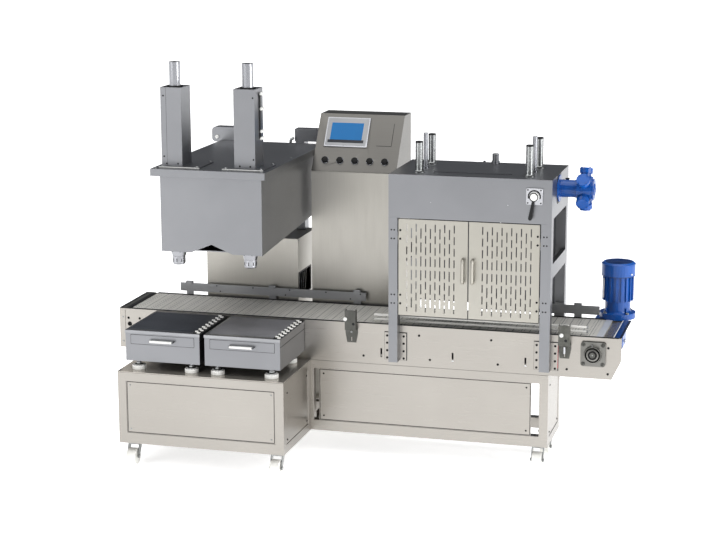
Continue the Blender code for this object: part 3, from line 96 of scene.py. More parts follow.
def grained(name, light, dark, roughness, grain, metallic=1.0, cloud=2.2, bump=0.03, coat=0.0):
    """A finish with two layers of texture. Broad clouding moves the colour between light and
    dark. Fine grain, so many lines a metre along each axis, moves the roughness and a slight
    relief."""
    made, tree, shader = new_material(name, {
        "Metallic": metallic, "Specular IOR Level": 0.5 if metallic else 0.32,
        "Coat Weight": coat, "Coat Roughness": 0.12})
    place = add_node(tree, "TexCoord").outputs["Object"]
    broad = add_node(tree, "TexNoise", {"Scale": cloud, "Detail": 3.0, "Roughness": 0.55},
                     {"Vector": place})
    lines = add_node(tree, "Mapping", {"Scale": grain}, {"Vector": place})
    fine = add_node(tree, "TexNoise", {"Scale": 1.0, "Detail": 4.0, "Roughness": 0.6},
                    {"Vector": lines.outputs[0]})
    both = add_node(tree, "Math", {"operation": "MULTIPLY_ADD", 1: 0.35},
                    {0: fine.outputs[0], 2: broad.outputs[0]})
    tones = add_node(tree, "ValToRGB", links={0: both.outputs[0]})
    for stop, position, tone in zip(tones.color_ramp.elements, (0.5, 0.85), (dark, light)):
        stop.position, stop.color = position, linear(tone)
    rough = add_node(tree, "MapRange",
                     {1: 0.3, 2: 0.7, 3: roughness * 0.82, 4: roughness * 1.18}, {0: fine.outputs[0]})
    relief = add_node(tree, "Bump", {"Strength": bump, "Distance": 0.0004}, {"Height": fine.outputs[0]})
    tree.links.new(tones.outputs[0], shader.inputs["Base Color"])
    tree.links.new(rough.outputs[0], shader.inputs["Roughness"])
    tree.links.new(relief.outputs[0], shader.inputs["Normal"])
    return made


# Belt-sanded sheet: long fine lines. Its warm tint is painted into the colour, a painted reflection of a warm
# floor. The eye gets a soft sheen.
SANDED = grained("sanded_stainless_sheet", "#a9a59f", "#a09c96", 0.32, (5, 60, 420), cloud=1.4)
# The same sheet on the cabinets, sanded upwards, so its highlight spreads sideways. Its colour is a lighter
# copy of the sheet's, painted light that makes up for the shade the cabinets stand in.
LIT_UPRIGHT_SHEET = grained("upright_sanded_sheet", "#bab7b0", "#a8a59e", 0.36, (420, 420, 6), cloud=1.3)
# Bead-blasted sheet, cool and even. The eye gets a flat grey that keeps its edges.
BLASTED = grained("blasted_stainless", "#8c8d90", "#848588", 0.36, (380, 380, 380))
# Doors of lighter sheet with a hand-rubbed finish, a shade warmer than the frame.
DOOR_SHEET = grained("rubbed_door_sheet", "#b3b0a8", "#aba89f", 0.4, (300, 60, 18), cloud=1.5)
# Turned and polished bar: fine rings round it give bright and dark bands.
POLISHED = grained("polished_bar", "#9a9b9f", "#8e8f93", 0.22, (4, 4, 60), bump=0.004)
# Zinc-plated steel, slightly mottled by its passivation.
ZINC = grained("zinc_plated_steel", "#a5a7a7", "#919392", 0.3, (160, 160, 160), cloud=9.0)
# Cast iron under gloss enamel. The relief is the sand casting that still shows through.
ENAMEL = grained("blue_motor_enamel", "#0b53a8", "#09458f", 0.34, (90, 90, 90), 0.0, 6.0, 0.2, 0.25)
# Darker enamel on the fan cowl, which is pressed sheet and so smoother.
NAVY = grained("navy_cowl_enamel", "#10346c", "#0b2855", 0.34, (60, 60, 60), 0.0, 8.0, 0.05, 0.2)
# Moulded nylon, faintly clouded a shade darker here and there.
NYLON = grained("moulded_white_nylon", "#fbfaf6", "#ecebe5", 0.42, (120, 120, 120), 0.0, 9.0, 0.08)
# Injection-moulded black plastic with a fine leather grain.
PLASTIC = grained("moulded_black_plastic", "#1b1c1e", "#101112", 0.46, (900, 900, 900), 0.0, 8.0, 0.15)
# Rubber mat on the scales, dusted grey.
SLATE_MAT = grained("slate_scale_mat", "#3b3e44", "#2b2e34", 0.5, (700, 700, 700), 0.0, 5.0, 0.3)
GREY_MAT = grained("grey_scale_mat", "#77777b", "#646468", 0.48, (700, 700, 700), 0.0, 5.0, 0.3)
# Steel blackened in oil: almost without a highlight, so small heads read as black dots.
BLACK_OXIDE = grained("black_oxide_screws", "#0c0c0e", "#050506", 0.6, (400, 400, 400), 0.0, 30.0)
# White powder coat on knobs, grips and air fittings, even and softly shining.
WHITE_COAT = grained("white_powder_coat", "#f4f4f1", "#e6e6e2", 0.4, (600, 600, 600), 0.0, 12.0, 0.1)
# Bracket steel, phosphated to a dull dark grey.
PHOSPHATED = grained("phosphated_bracket", "#6b6b67", "#52524e", 0.5, (200, 200, 200), 0.8, 12.0)
# Display behind matt glass: an even blue without a highlight.
DISPLAY = grained("blue_display", "#1a73b4", "#176ba9", 0.45, (8, 8, 8), 0.0, 2.0, 0.0)
# Bearing housing: cast iron, machined on its face and left grey. Soft and even.
CAST_GREY = grained("machined_bearing_iron", "#82817d", "#73726e", 0.42, (240, 240, 240), cloud=10.0)
# Console sheet with a hairline finish. Its dark brown tone is painted into the colour, a painted reflection
# for the face as it leans back.
HAIRLINE = grained("hairline_console_sheet", "#7c7a76", "#72706c", 0.34, (6, 300, 300), cloud=1.6)
# Sheet of the guide rails: satin, a little brighter than the covers.
RAIL_SHEET = grained("satin_rail_sheet", "#a0a1a3", "#929396", 0.36, (12, 300, 300), cloud=3.0)
# Table sheet with a mirror polish, in which the feet of the scales show.
MIRROR_SHEET = grained("mirror_table_sheet", "#b3aea6", "#a49f97", 0.2, (200, 200, 200), 0.7, bump=0.01)
# Inner sheet, left as it came from the mill. Its darker colour is painted shade for the dim inside of the
# capping unit.
INNER_PAINTED_SHADE = grained("dull_mill_sheet", "#6a6b6f", "#5a5b5f", 0.5, (60, 60, 200), 0.6, 4.0)
# Pale bright metal on collars, screws and small plates, paler than the faces beside it. As a strip across the
# head's top and on the clamp bracket's tongue it is a painted highlight.
PALE_METAL_AND_HIGHLIGHT = grained("rubbed_bright_edge", "#c2c3c7", "#b4b5b9", 0.3, (30, 300, 300), cloud=4.0)
# Pale plate of the outfeed, satin and half diffuse, so it keeps its light beside the blue motor.
PALE_SHEET = grained("pale_outfeed_sheet", "#c6cad0", "#b6bac2", 0.36, (30, 300, 300), 0.15, 4.0)
# Red rubber edging strip.
RED_RUBBER = grained("red_edging_rubber", "#d8575a", "#c34a4d", 0.5, (300, 300, 300), 0.0, 9.0, 0.1)


CLAMP_BACK = -0.105         # the front guide's clamp lies on the operator's side of this y
SLAT_HALF = 0.01905         # half the belt's pitch of 38.1 mm
HOLE_HALF = 0.0127          # half the pitch of its holes
HINGE_HALF = 0.0011         # half a hinge line's width
HOLE_SQUARE = 0.0000105     # a hole's radius, squared


def guide_steel():
    """Drawn rods, coloured pale and left almost without shine so that they stay light in the shade under the
    doors: painted light. Towards the operator, their dark phosphated clamp.
    """
    made, tree, shader = new_material("drawn_guide_rod", {"Metallic": 0.1, "Roughness": 0.34})
    place = add_node(tree, "TexCoord").outputs["Object"]
    parts = add_node(tree, "SeparateXYZ", links={0: place})
    clamp = add_node(tree, "Math", {"operation": "LESS_THAN", 1: CLAMP_BACK}, {0: parts.outputs["Y"]})
    drawn = add_node(tree, "Mapping", {"Scale": (3, 60, 60)}, {"Vector": place})
    surfaces = []
    # The first tones, pale, are painted light on the rods; the second are the clamp's own dark phosphate.
    for where, settings, tones in (
            (drawn.outputs[0], {"Scale": 1.0, "Detail": 2.0}, ("#d4d3ce", "#dddcd7")),
            (place, {"Scale": 60.0, "Detail": 4.0}, ("#45453f", "#55554f"))):
        noise = add_node(tree, "TexNoise", settings, {"Vector": where})
        ramp = add_node(tree, "ValToRGB", links={0: noise.outputs[0]})
        for stop, position, tone in zip(ramp.color_ramp.elements, (0.35, 0.65), tones):
            stop.position, stop.color = position, linear(tone)
        surfaces.append(ramp.outputs[0])
    mix = add_node(tree, "Mix", {"data_type": "RGBA"},
                   {0: clamp.outputs[0], 6: surfaces[0], 7: surfaces[1]})
    tree.links.new(mix.outputs[2], shader.inputs["Base Color"])
    return made


def slat_belt():
    """Pressed steel slats: dark hinge lines across the belt, and between them rows of punched
    holes, drawn larger than they are so that they show."""
    made, tree, shader = new_material("pressed_slat_steel", {"Metallic": 0.1, "Roughness": 0.42})
    place = add_node(tree, "TexCoord").outputs["Object"]
    parts = add_node(tree, "SeparateXYZ", links={0: place})
    wave = add_node(tree, "Math", {"operation": "PINGPONG", 1: SLAT_HALF}, {0: parts.outputs["X"]})
    hinge = add_node(tree, "Math", {"operation": "LESS_THAN", 1: HINGE_HALF}, {0: wave.outputs[0]})
    cells = []
    for axis in ("X", "Y"):
        there = add_node(tree, "Math", {"operation": "PINGPONG", 1: HOLE_HALF}, {0: parts.outputs[axis]})
        cells.append(add_node(tree, "Math", {"operation": "POWER", 1: 2.0},
                              {0: there.outputs[0]}).outputs[0])
    far = add_node(tree, "Math", {"operation": "ADD"}, {0: cells[0], 1: cells[1]})
    hole = add_node(tree, "Math", {"operation": "LESS_THAN", 1: HOLE_SQUARE}, {0: far.outputs[0]})
    dark = add_node(tree, "Math", {"operation": "MAXIMUM"}, {0: hinge.outputs[0], 1: hole.outputs[0]})
    broad = add_node(tree, "TexNoise", {"Scale": 3.0, "Detail": 3.0}, {"Vector": place})
    tones = add_node(tree, "ValToRGB", links={0: broad.outputs[0]})
    for stop, position, tone in zip(tones.color_ramp.elements, (0.35, 0.65), ("#c2c0ba", "#d0cec7")):
        stop.position, stop.color = position, linear(tone)
    mix = add_node(tree, "Mix", {"data_type": "RGBA", 7: linear("#55565a")},
                   {0: dark.outputs[0], 6: tones.outputs[0]})
    tree.links.new(mix.outputs[2], shader.inputs["Base Color"])
    return made


BELT_STEEL = slat_belt()
SLOTS = {"brushed_stainless": SANDED, "satin_stainless": BLASTED, "dark_plastic": PLASTIC,
         "blue_enamel": ENAMEL, "white_nylon": NYLON, "zinc_plate": ZINC, "slat_belt": BELT_STEEL}
OTHER_FINISH = {"lower_cabinet": LIT_UPRIGHT_SHEET, "tall_cabinet": LIT_UPRIGHT_SHEET, "capping_door_left": DOOR_SHEET,
                "capping_door_right": DOOR_SHEET, "filling_lance_left": POLISHED,
                "filling_lance_right": POLISHED, "stop_bracket": PHOSPHATED,
                "flange_bearing": CAST_GREY, "operator_console": HAIRLINE, "front_guide": guide_steel(),
                "back_guide_left": RAIL_SHEET, "back_guide_right": RAIL_SHEET, "table_top": MIRROR_SHEET,
                "capping_back_panel": INNER_PAINTED_SHADE, "tail_drum": BLACK_OXIDE, "transfer_plate": MIRROR_SHEET}
# Edges broken by so many millimetres on these solids.
SOFT_EDGES = {
    0.5: ("main_front_panel", "main_side_panel", "table_front_panel", "table_side_panel",
          "conveyor_front_plate"),
    0.8: ("table_top", "lift_column_left", "lift_column_right"),
    1.0: ("scale_platform_left", "scale_platform_right"),
    1.2: ("filling_housing", "operator_console"),
    1.5: ("main_frame", "table_frame", "housing_lid", "scale_body_left", "scale_body_right",
          "rear_support"),
    2.0: ("lower_cabinet", "tall_cabinet", "gearbox")}


def dress_solids():
    """Gives each solid its slot's finish or its own, and breaks the edges of the larger ones."""
    for name, item in NODES.items():
        for slot in item.material_slots:
            for key, made in SLOTS.items():
                if slot.material and slot.material.name.startswith(key):
                    slot.material = OTHER_FINISH.get(name, made)
                    break
    for width, names in SOFT_EDGES.items():
        for name in names:
            weld = NODES[name].modifiers.new("seams", "WELD")
            weld.merge_threshold = 0.00001
            edge = NODES[name].modifiers.new("worn_edges", "BEVEL")
            edge.width, edge.segments, edge.limit_method = width / 1000, 2, "ANGLE"
            edge.angle_limit = math.radians(40)
            edge.harden_normals = True


# shapes
SHARP = 38      # degrees between faces, above which their edge isn't smoothed


def grid(points, round_rows=False, round_columns=True):
    """Quads between neighbouring points of a rows by columns grid, joined where it comes round."""
    rows, columns = points.shape[:2]
    first, second = np.meshgrid(np.arange(rows if round_rows else rows - 1),
                                np.arange(columns if round_columns else columns - 1), indexing="ij")
    below, right = (first + 1) % rows, (second + 1) % columns
    quads = np.stack([first * columns + second, first * columns + right,
                      below * columns + right, below * columns + second], axis=-1).reshape(-1, 4)
    return points.reshape(-1, 3), quads


def copies(shape, places):
    """The same shape at each place, as one shape."""
    points, quads = shape
    places = np.asarray(places, float).reshape(-1, 3)
    step = np.arange(len(places)) * len(points)
    return ((points[None] + places[:, None]).reshape(-1, 3),
            (quads[None] + step[:, None, None]).reshape(-1, 4))


def across(out):
    """Two directions square to an axis."""
    out = np.asarray(out, float) / np.linalg.norm(out)
    first = np.cross(Z if abs(out[2]) < 0.9 else Y, out)
    first /= np.linalg.norm(first)
    return first, np.cross(out, first), out


def turned(profile, out=Z, sides=16):
    """point(i, a) = r_i (cos a u + sin a v) + h_i w, for profile points (r, h) in millimetres
    along the axis w, with the first and last on the axis."""
    u, v, w = across(out)
    radius, height = np.array(profile, float).T / 1000
    angle = np.arange(sides) * 2 * math.pi / sides
    way = np.cos(angle)[:, None] * u + np.sin(angle)[:, None] * v
    return grid(radius[:, None, None] * way[None] + height[:, None, None] * w)


def disc(radius, low, high, edge=0.0):
    """A disc's profile from low to high, with its upper edge broken by `edge`."""
    rim = [(radius, high - edge), (radius - edge, high)] if edge else [(radius, high)]
    return [(0, low), (radius, low), *rim, (0, high)]


def rounded_plate(size, thick, corner, edge, right=X, up=Z, steps=4):
    """point(i, a) = outline(a) drawn in by d_i, raised by h_i: a plate of (width, height) and
    thickness in millimetres, with rounded corners and an edge broken by `edge`."""
    right, up = np.asarray(right, float), np.asarray(up, float)
    out = np.cross(right, up)
    quarter = np.linspace(0, math.pi / 2, steps)
    angle = (quarter[None] + np.arange(4)[:, None] * math.pi / 2).ravel()
    signs = np.repeat([[1, 1], [-1, 1], [-1, -1], [1, -1]], steps, axis=0)
    drawn = np.array([0, 0, 0, edge, 0]) / 1000
    height = np.array([0, 0, thick - edge, thick, thick]) / 1000
    kept = np.array([0, 1, 1, 1, 0])
    half, bend = np.array(size) / 2000, corner / 1000
    middle = signs * (half - bend)
    reach = np.stack([np.cos(angle), np.sin(angle)], axis=-1)
    shrunk = np.maximum(bend - drawn, 0.00002)[:, None, None] * reach[None]
    flat = kept[:, None, None] * (middle[None] + shrunk)
    return grid(flat[..., :1] * right + flat[..., 1:] * up + height[:, None, None] * out)


def bar(path, radius, normal, sides=12):
    """point(i, a) = path_i + r (cos a n + sin a (t_i x n)): a round bar along a flat path whose
    plane has the normal n, in metres, drawn to a point at each end."""
    path, normal = np.asarray(path, float), np.asarray(normal, float)
    along = np.gradient(path, axis=0)
    along /= np.linalg.norm(along, axis=1)[:, None]
    side = np.cross(along, normal)
    angle = np.arange(sides) * 2 * math.pi / sides
    size = np.concatenate([[0], np.full(len(path), radius), [0]])
    path, side = (np.concatenate([rows[:1], rows, rows[-1:]]) for rows in (path, side))
    ring = np.cos(angle)[None, :, None] * normal + np.sin(angle)[None, :, None] * side[:, None]
    return grid(path[:, None] + size[:, None, None] * ring)


def bend(centre, radius, start, end, right, up, steps=8):
    """Points on an arc from start to end in degrees, in the plane of right and up."""
    angle = np.radians(np.linspace(start, end, steps))[:, None]
    return np.asarray(centre) + radius * (np.cos(angle) * right + np.sin(angle) * up)


def piece(name, shapes, finish, body="machine"):
    """One closed object from shapes, its normals outward, that rides on a body of the frame, in its finish."""
    starts = np.cumsum([0] + [len(points) for points, _ in shapes])
    points = np.concatenate([points for points, _ in shapes])
    quads = np.concatenate([faces + start for (_, faces), start in zip(shapes, starts)])
    mesh = bpy.data.meshes.new(name)
    mesh.from_pydata(points.tolist(), [], quads.tolist())
    form = bmesh.new()
    form.from_mesh(mesh)
    bmesh.ops.remove_doubles(form, verts=form.verts, dist=0.000001)
    bmesh.ops.recalc_face_normals(form, faces=form.faces)
    form.to_mesh(mesh)
    form.free()
    mesh.polygons.foreach_set("use_smooth", np.ones(len(mesh.polygons), bool))
    mesh.set_sharp_from_angle(angle=math.radians(SHARP))
    mesh.materials.append(finish)
    item = bpy.data.objects.new(name, mesh)
    SCENE.collection.objects.link(item)
    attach(item, body)
    return item


def fit(name, shape, places, finish, body="machine"):
    """A piece that is one shape at each place."""
    return piece(name, [copies(shape, places)], finish, body)


def flat_points(pairs, y):
    """Places on the upright face at y from (x, z) pairs."""
    return [(x, y, z) for x, z in pairs]


def screw_row(name, width, pairs, y, finish=BLACK_OXIDE, body="machine"):
    """Low screw heads on the upright face at y from (x, z) pairs."""
    return fit(name, button_screw(width, -Y), flat_points(pairs, y), finish, body)


def corners(centre, first, second):
    """The four places at centre, plus or minus first, plus or minus second."""
    return [np.asarray(centre) + i * first + k * second for i in (-1, 1) for k in (-1, 1)]


def socket_screw(width, out):
    """Cap screw with its hexagon socket, `width` across the head in millimetres."""
    r = width / 2
    return turned([(0, -1), (r, -1), (r, r * 0.75), (r * 0.85, r * 0.95), (r * 0.5, r * 0.95),
                   (r * 0.42, r * 0.3), (0, r * 0.3)], out, 14)


def button_screw(width, out):
    """Low domed screw head."""
    r = width / 2
    return turned([(0, -1), (r, -1), (r, 0.12 * r), (r * 0.85, 0.42 * r), (r * 0.5, 0.58 * r),
                   (0, 0.62 * r)], out, 14)


# pieces
def conveyor_fittings():
    """Screws on the front plate, dark seals on both plates' upper edges, the tail guard, the
    strips of the outfeed and the bearing's fittings."""
    low, high = BOX["conveyor_front_plate"]
    back = BOX["conveyor_back_plate"][0, 1]
    plate = [(0.0056, 0.4787), (0.265, 0.5883), (0.3155, 0.479), (0.5954, 0.5883), (0.6263, 0.4784),
             (0.9363, 0.4786), (1.118, 0.5859), (1.1179, 0.468), (-0.32, 0.5883), (-0.64, 0.479)]
    screw_row("front_plate_screws", 11, plate, FRONT)
    ends = [(low[0] + 0.0165, z) for z in (0.5885, 0.472)]
    screw_row("end_strip_screws", 9, ends, FRONT, ZINC)
    for name, y, short in (("front_edge_seal", FRONT, 0.012), ("back_edge_seal", back, 0.05)):
        path = [(x, y + 0.0045, BELT_TOP + 0.0008) for x in (low[0] + 0.06, high[0] - short)]
        piece(name, [bar(path, 0.0038, Z, 8)], PLASTIC)
    deep = (back - FRONT - 0.004) * 1000
    centre_y = (back + FRONT + 0.004) / 2
    guard = fit("tail_guard", rounded_plate((51, deep), 6, 2, 1.5, X, Y),
                (low[0] + 0.0262, centre_y, BELT_TOP - 0.0022), PLASTIC)
    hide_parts("belt_end_cover")
    fit("tail_guard_band", rounded_plate((20, deep - 4), 1.2, 2, 0.5, X, Y),
        (low[0] + 0.027, centre_y, BELT_TOP + 0.0036), PHOSPHATED)
    outfeed_top = 0.6322
    strips = (("outfeed_ramp", 1.062, 1.0915, PALE_SHEET), ("outfeed_lip", 1.137, 1.1405, WHITE_COAT),
              ("outfeed_pad", 1.1415, 1.1645, NAVY), ("outfeed_seal", 1.1655, 1.1755, PLASTIC))
    for name, start, end, finish in strips:
        strip = rounded_plate(((end - start) * 1000, deep - 1), 1.6, 1, 0.4, X, Y)
        fit(name, strip, ((start + end) / 2, centre_y, outfeed_top), finish)
    bearing = BOX["flange_bearing"]
    x, _, z = bearing.mean(axis=0)
    face = bearing[1, 1] - 0.012
    holes = corners((x, face, z), 0.043 * X, 0.0435 * Z)
    piece("bearing_screws", [copies(socket_screw(12, -Y), holes),
                             copies(turned(disc(9.5, 0, 1.6), -Y, 20), holes)], PHOSPHATED)
    centre = (x, bearing[0, 1], z)
    insert = [(0, 0), (27, 0), (27, 1.2), (25, 2.2), (18, 2.2), (17, 0.8), (0, 0.8)]
    collar = [(0, 0), (36, 0), (36, -3), (39, -15), (41, -17), (0, -17)]
    race = [(0, 1), (20.5, 1), (20.5, 2.9), (19, 3.1), (14, 3.1), (13, 2.0), (0, 2.0)]
    fit("bearing_insert", turned(insert, -Y, 40), centre, CAST_GREY)
    fit("bearing_collar", turned(collar, -Y, 40), centre, CAST_GREY)
    fit("bearing_race", turned(race, -Y, 36), centre, BLACK_OXIDE)
    nipple = [(0, -2), (3.5, -2), (3.5, 4), (2.2, 5), (2.2, 9), (3, 10), (2.4, 12), (0, 12.5)]
    fit("grease_nipple", turned(nipple, Z, 12), (x - 0.004, face - 0.007, z + 0.0335), ZINC)
    shaft = [(0, -1), (11, -1), (12.4, 0.3), (12.4, 0.6), (4, 0.6), (2, -0.4), (0, -0.4)]
    fit("drive_shaft_end", turned(shaft, -Y, 28), (x, BOX["drive_drum"][0, 1], z), PHOSPHATED)


def mounting_screws():
    """The two mounting plates with their black screws, the red edging, the doors' gaskets, and
    the screws of the hinges, the doors and the right rear leg. All heads are low domes."""
    front, back = BOX["capping_frame"][:, 1]
    left_leg, right_leg = 0.156, 0.8425         # their middles
    rows = (0.581, 0.5472, 0.512, 0.478)
    places = [(leg + way * reach, FRONT - 0.0038, z)
              for leg, reach in ((left_leg, 0.0385), (right_leg, 0.0415)) for way in (-1, 1) for z in rows]
    for label, start, end in (("left", 0.1055, 0.2065), ("right", 0.7895, 0.8955)):
        middle, wide = (start + end) / 2, (end - start) * 1000
        # Under each plate a dark plate, larger towards the top and right: a painted shadow round the plate's
        # edges.
        fit("plate_shadow_" + label, rounded_plate((wide + 4, 130), 2.2, 1, 0.3),
            (middle + 0.001, FRONT - 0.0003, 0.534), PLASTIC)
        fit("plate_face_" + label, rounded_plate((wide - 0.6, 125.4), 0.5, 1, 0.2),
            (middle, FRONT - 0.0033, 0.533), SANDED)
    edging = [(0.8962, FRONT - 0.0025, z) for z in (0.48, 0.585)]
    piece("red_edging", [bar(edging, 0.0011, Y, 8)], RED_RUBBER)
    line = front + 0.001
    gasket = [bar([(x, line, z) for z in (0.693, 1.13)], 0.0014, Y, 8) for x in (0.1795, 0.8165)]
    gasket += [bar([(x, line, z) for x in (0.18, 0.816)], 0.0014, Y, 8) for z in (0.6905, 1.1307)]
    piece("door_gaskets", gasket, PLASTIC)
    fit("mounting_plate_screws", button_screw(11, -Y), places, BLACK_OXIDE)
    legs = [(x, z) for x in (0.1487, 0.162) for z in (1.078, 1.039, 0.784, 0.7443)]
    legs += [(x, z) for x in (0.8325, 0.8455) for z in (1.077, 1.0385, 0.7828, 0.743)]
    screw_row("hinge_screws", 7, legs, front)
    for side, x in (("left", 0.1895), ("right", 0.8055)):
        door = [(x, z) for z in (1.078, 1.0393, 0.784, 0.7447)]
        screw_row("door_screws_" + side, 10, door, front, body="door_" + side)
    rear = [(x, z) for x in (0.8325, 0.8435) for z in (1.081, 1.0427, 0.788, 0.7489)]
    rear += [(0.8414, 0.8951)]
    screw_row("rear_leg_screws", 7, rear, back - 0.046)


def door_pulls():
    """Bows over the doors' pulls, rubbed like the doors, and the plates at their feet."""
    face = BOX["capping_frame"][0, 1] - 0.0004
    high, low, out, turn = 0.958, 0.858, face - 0.0245, 0.012
    feet = turned([(0, 0), (10, 0), (10, 1.2), (9, 2), (0, 2)], -Y, 24)
    for side, x in (("left", 0.476), ("right", 0.52)):
        path = np.concatenate([[(x, face + 0.002, high)],
                               bend((x, out + turn, high - turn), turn, 90, 180, Y, Z, 7),
                               bend((x, out + turn, low + turn), turn, 180, 270, Y, Z, 7),
                               [(x, face + 0.002, low)]])
        ends = [(x, face, high), (x, face, low)]
        piece("door_pull_" + side, [bar(path, 0.0072, X, 16), copies(feet, ends)], DOOR_SHEET,
              "door_" + side)


def capping_top():
    """Threads, caps and nuts of the four adjusting posts, the sleeves of the two guide posts, the stub's cap,
    a pale strip across the head's top that is a painted highlight, and the head's screws."""
    xs = (0.2525, 0.7485)
    posts = [(x, y, HEAD_TOP) for x in xs for y in (-0.08, 0.1725)]
    thread = [(16.2 + out, crest + rise) for crest in np.arange(0, 128, 6.0)
              for out, rise in ((0, 0), (0.7, 1.2), (0.7, 3.6), (0, 4.8))]
    fit("post_threads", turned([(0, 0), *thread, (16.2, 131), (0, 131)], Z, 24), posts, ZINC)
    fit("post_caps", turned(disc(17, 131, 137.5, 1.5), Z, 24), posts, PLASTIC)
    ring = [(0, 0), (27, 0), (27, 1.5), (26, 2), (0, 2)]
    piece("post_nuts", [copies(turned(disc(24, 0, 8, 2), Z, 6), posts), copies(turned(ring, Z, 28), posts)],
          ZINC)
    sleeve = [(0, 0), (15, 0), (15, 5), (10.4, 7), (10.4, 156), (8.5, 158), (0, 158)]
    fit("guide_sleeves", turned(sleeve, Z, 24), [(x, 0.046, HEAD_TOP) for x in xs], POLISHED)
    stub = [(0, 40), (16.4, 40), (16.4, 42), (14, 43.5), (0, 43.5)]
    fit("stub_cap", turned(stub, Z, 24), (0.532, 0.2525, HEAD_TOP), BLASTED)
    # A thin pale strip across the head's top: a painted highlight line.
    fit("head_slip", rounded_plate((351, 6), 0.6, 1, 0.2, X, Y), (0.494, -0.0695, HEAD_TOP), PALE_METAL_AND_HIGHLIGHT)
    dots = [(0.3267, 1.2104), (0.6717, 1.2109)]
    screw_row("head_screws", 5, dots, CAP_FACE + 0.006, PALE_METAL_AND_HIGHLIGHT)


def selector_fittings():
    """The selector's bright plate, its black arc, its screws and the white knob on the lever."""
    x, z = 0.7885, 1.255
    fit("selector_face", rounded_plate((72, 72), 1.0, 6, 0.4), (x, CAP_FACE, z), PALE_METAL_AND_HIGHLIGHT)
    fit("selector_screws", button_screw(7, -Y),
        corners((x, CAP_FACE - 0.001, z), 0.0285 * X, 0.0285 * Z), BLACK_OXIDE)
    arc = bend((x, CAP_FACE - 0.0015, z), 0.0262, -20, 200, X, Z, 24)
    piece("selector_arc", [bar(arc, 0.0028, Y, 8)], PLASTIC)
    knob = [(0, 2), (20.6, 2), (20.6, 12), (19, 16), (14, 19), (6, 20.3), (0, 20.5)]
    fit("selector_knob", turned(knob, -Y, 36), (x, BOX["selector_lever"][1, 1], z), WHITE_COAT, "selector")


def drive_dressing():
    """The motor's fan cowl, its bolts, gussets and neck, the terminal strip, and the gearbox's
    cover, bolts and plugs."""
    low, high = BOX["gearmotor"]
    x, y, _ = (low + high) / 2
    top = high[2]
    cowl = [(0, -0.5), (66, -0.5), (66, 0), (60, 0.6), (20, 1.0), (0, 1.0)]
    fit("fan_cowl_disc", turned(cowl, Z, 40), (x, y, top - 0.0005), NAVY)
    grille = [turned([(0, 0.8), (r, 0.8), (r, 1.8), (r - 3, 1.8), (r - 3, 0.9), (0, 0.9)], Z, 40)
              for r in (56, 44, 32, 20)]
    piece("fan_grille", [copies(shape, (x, y, top - 0.0008)) for shape in grille], NAVY)
    fit("cowl_lip", turned(disc(77.2, -6, -2.5), Z, 48), (x, y, top - 0.004), ENAMEL)
    fit("cowl_seam", turned(disc(76.9, 0, 3), Z, 48), (x, y, top - 0.063), NAVY)
    bolts = bend((x, y, low[2] + 0.026), 0.071, 45, 315, X, Y, 4)
    piece("motor_flange_bolts", [copies(turned(disc(7.5, -1, 7, 1), Z, 6), bolts),
                                 copies(turned(disc(10, -1, 1.5), Z, 20), bolts)], ZINC)
    gussets = []
    for way in bend((0, 0, 0), 1, 45, 315, X, Y, 4):
        place = np.array([x, y, low[2] + 0.038]) + 0.061 * way - 0.0025 * np.cross(way, Z)
        gussets.append(copies(rounded_plate((12, 26), 5, 2, 1, way, Z), place))
    piece("motor_gussets", gussets, ENAMEL)
    neck = [(0, 24), (66, 24), (60, 30), (57, 38), (0, 38)]
    fit("neck_flare", turned(neck, Z, 40), (x, y, low[2]), ENAMEL)
    away, along = np.array([-0.862, -0.506, 0.0]), np.array([0.506, -0.862, 0.0])
    fit("terminal_strip", rounded_plate((9, 92), 3, 1.5, 0.8, along, Z),
        np.array([x, y, 0.774]) + 0.0695 * away, WHITE_COAT)
    lug = np.array([0.85, -0.53, 0.0])
    screw = [(0, -1), (4, -1), (4, 2), (3, 3.4), (0, 3.8)]
    fit("cowl_screw", turned(screw, lug, 16), np.array([x, y, 0.842]) + 0.0765 * lug, WHITE_COAT)
    low, high = BOX["gearbox"]
    x, shaft_z = low[0] + 0.05, 0.5563
    cover = [(0, 0), (46, 0), (46, 4), (43, 6), (0, 6)]
    fit("gearbox_cover", turned(cover, Y, 36), (x, high[1] - 0.0005, shaft_z), ENAMEL)
    fit("gearbox_bolts", socket_screw(8, Y),
        bend((x, high[1] + 0.005, shaft_z), 0.038, 15, 315, X, Z, 6), ZINC)
    plugs = [(high[0], low[1] + 0.06, shaft_z + rise) for rise in (-0.035, 0.03)]
    fit("gearbox_plugs", turned(disc(8, -1, 6, 2), X, 6), plugs, ZINC)


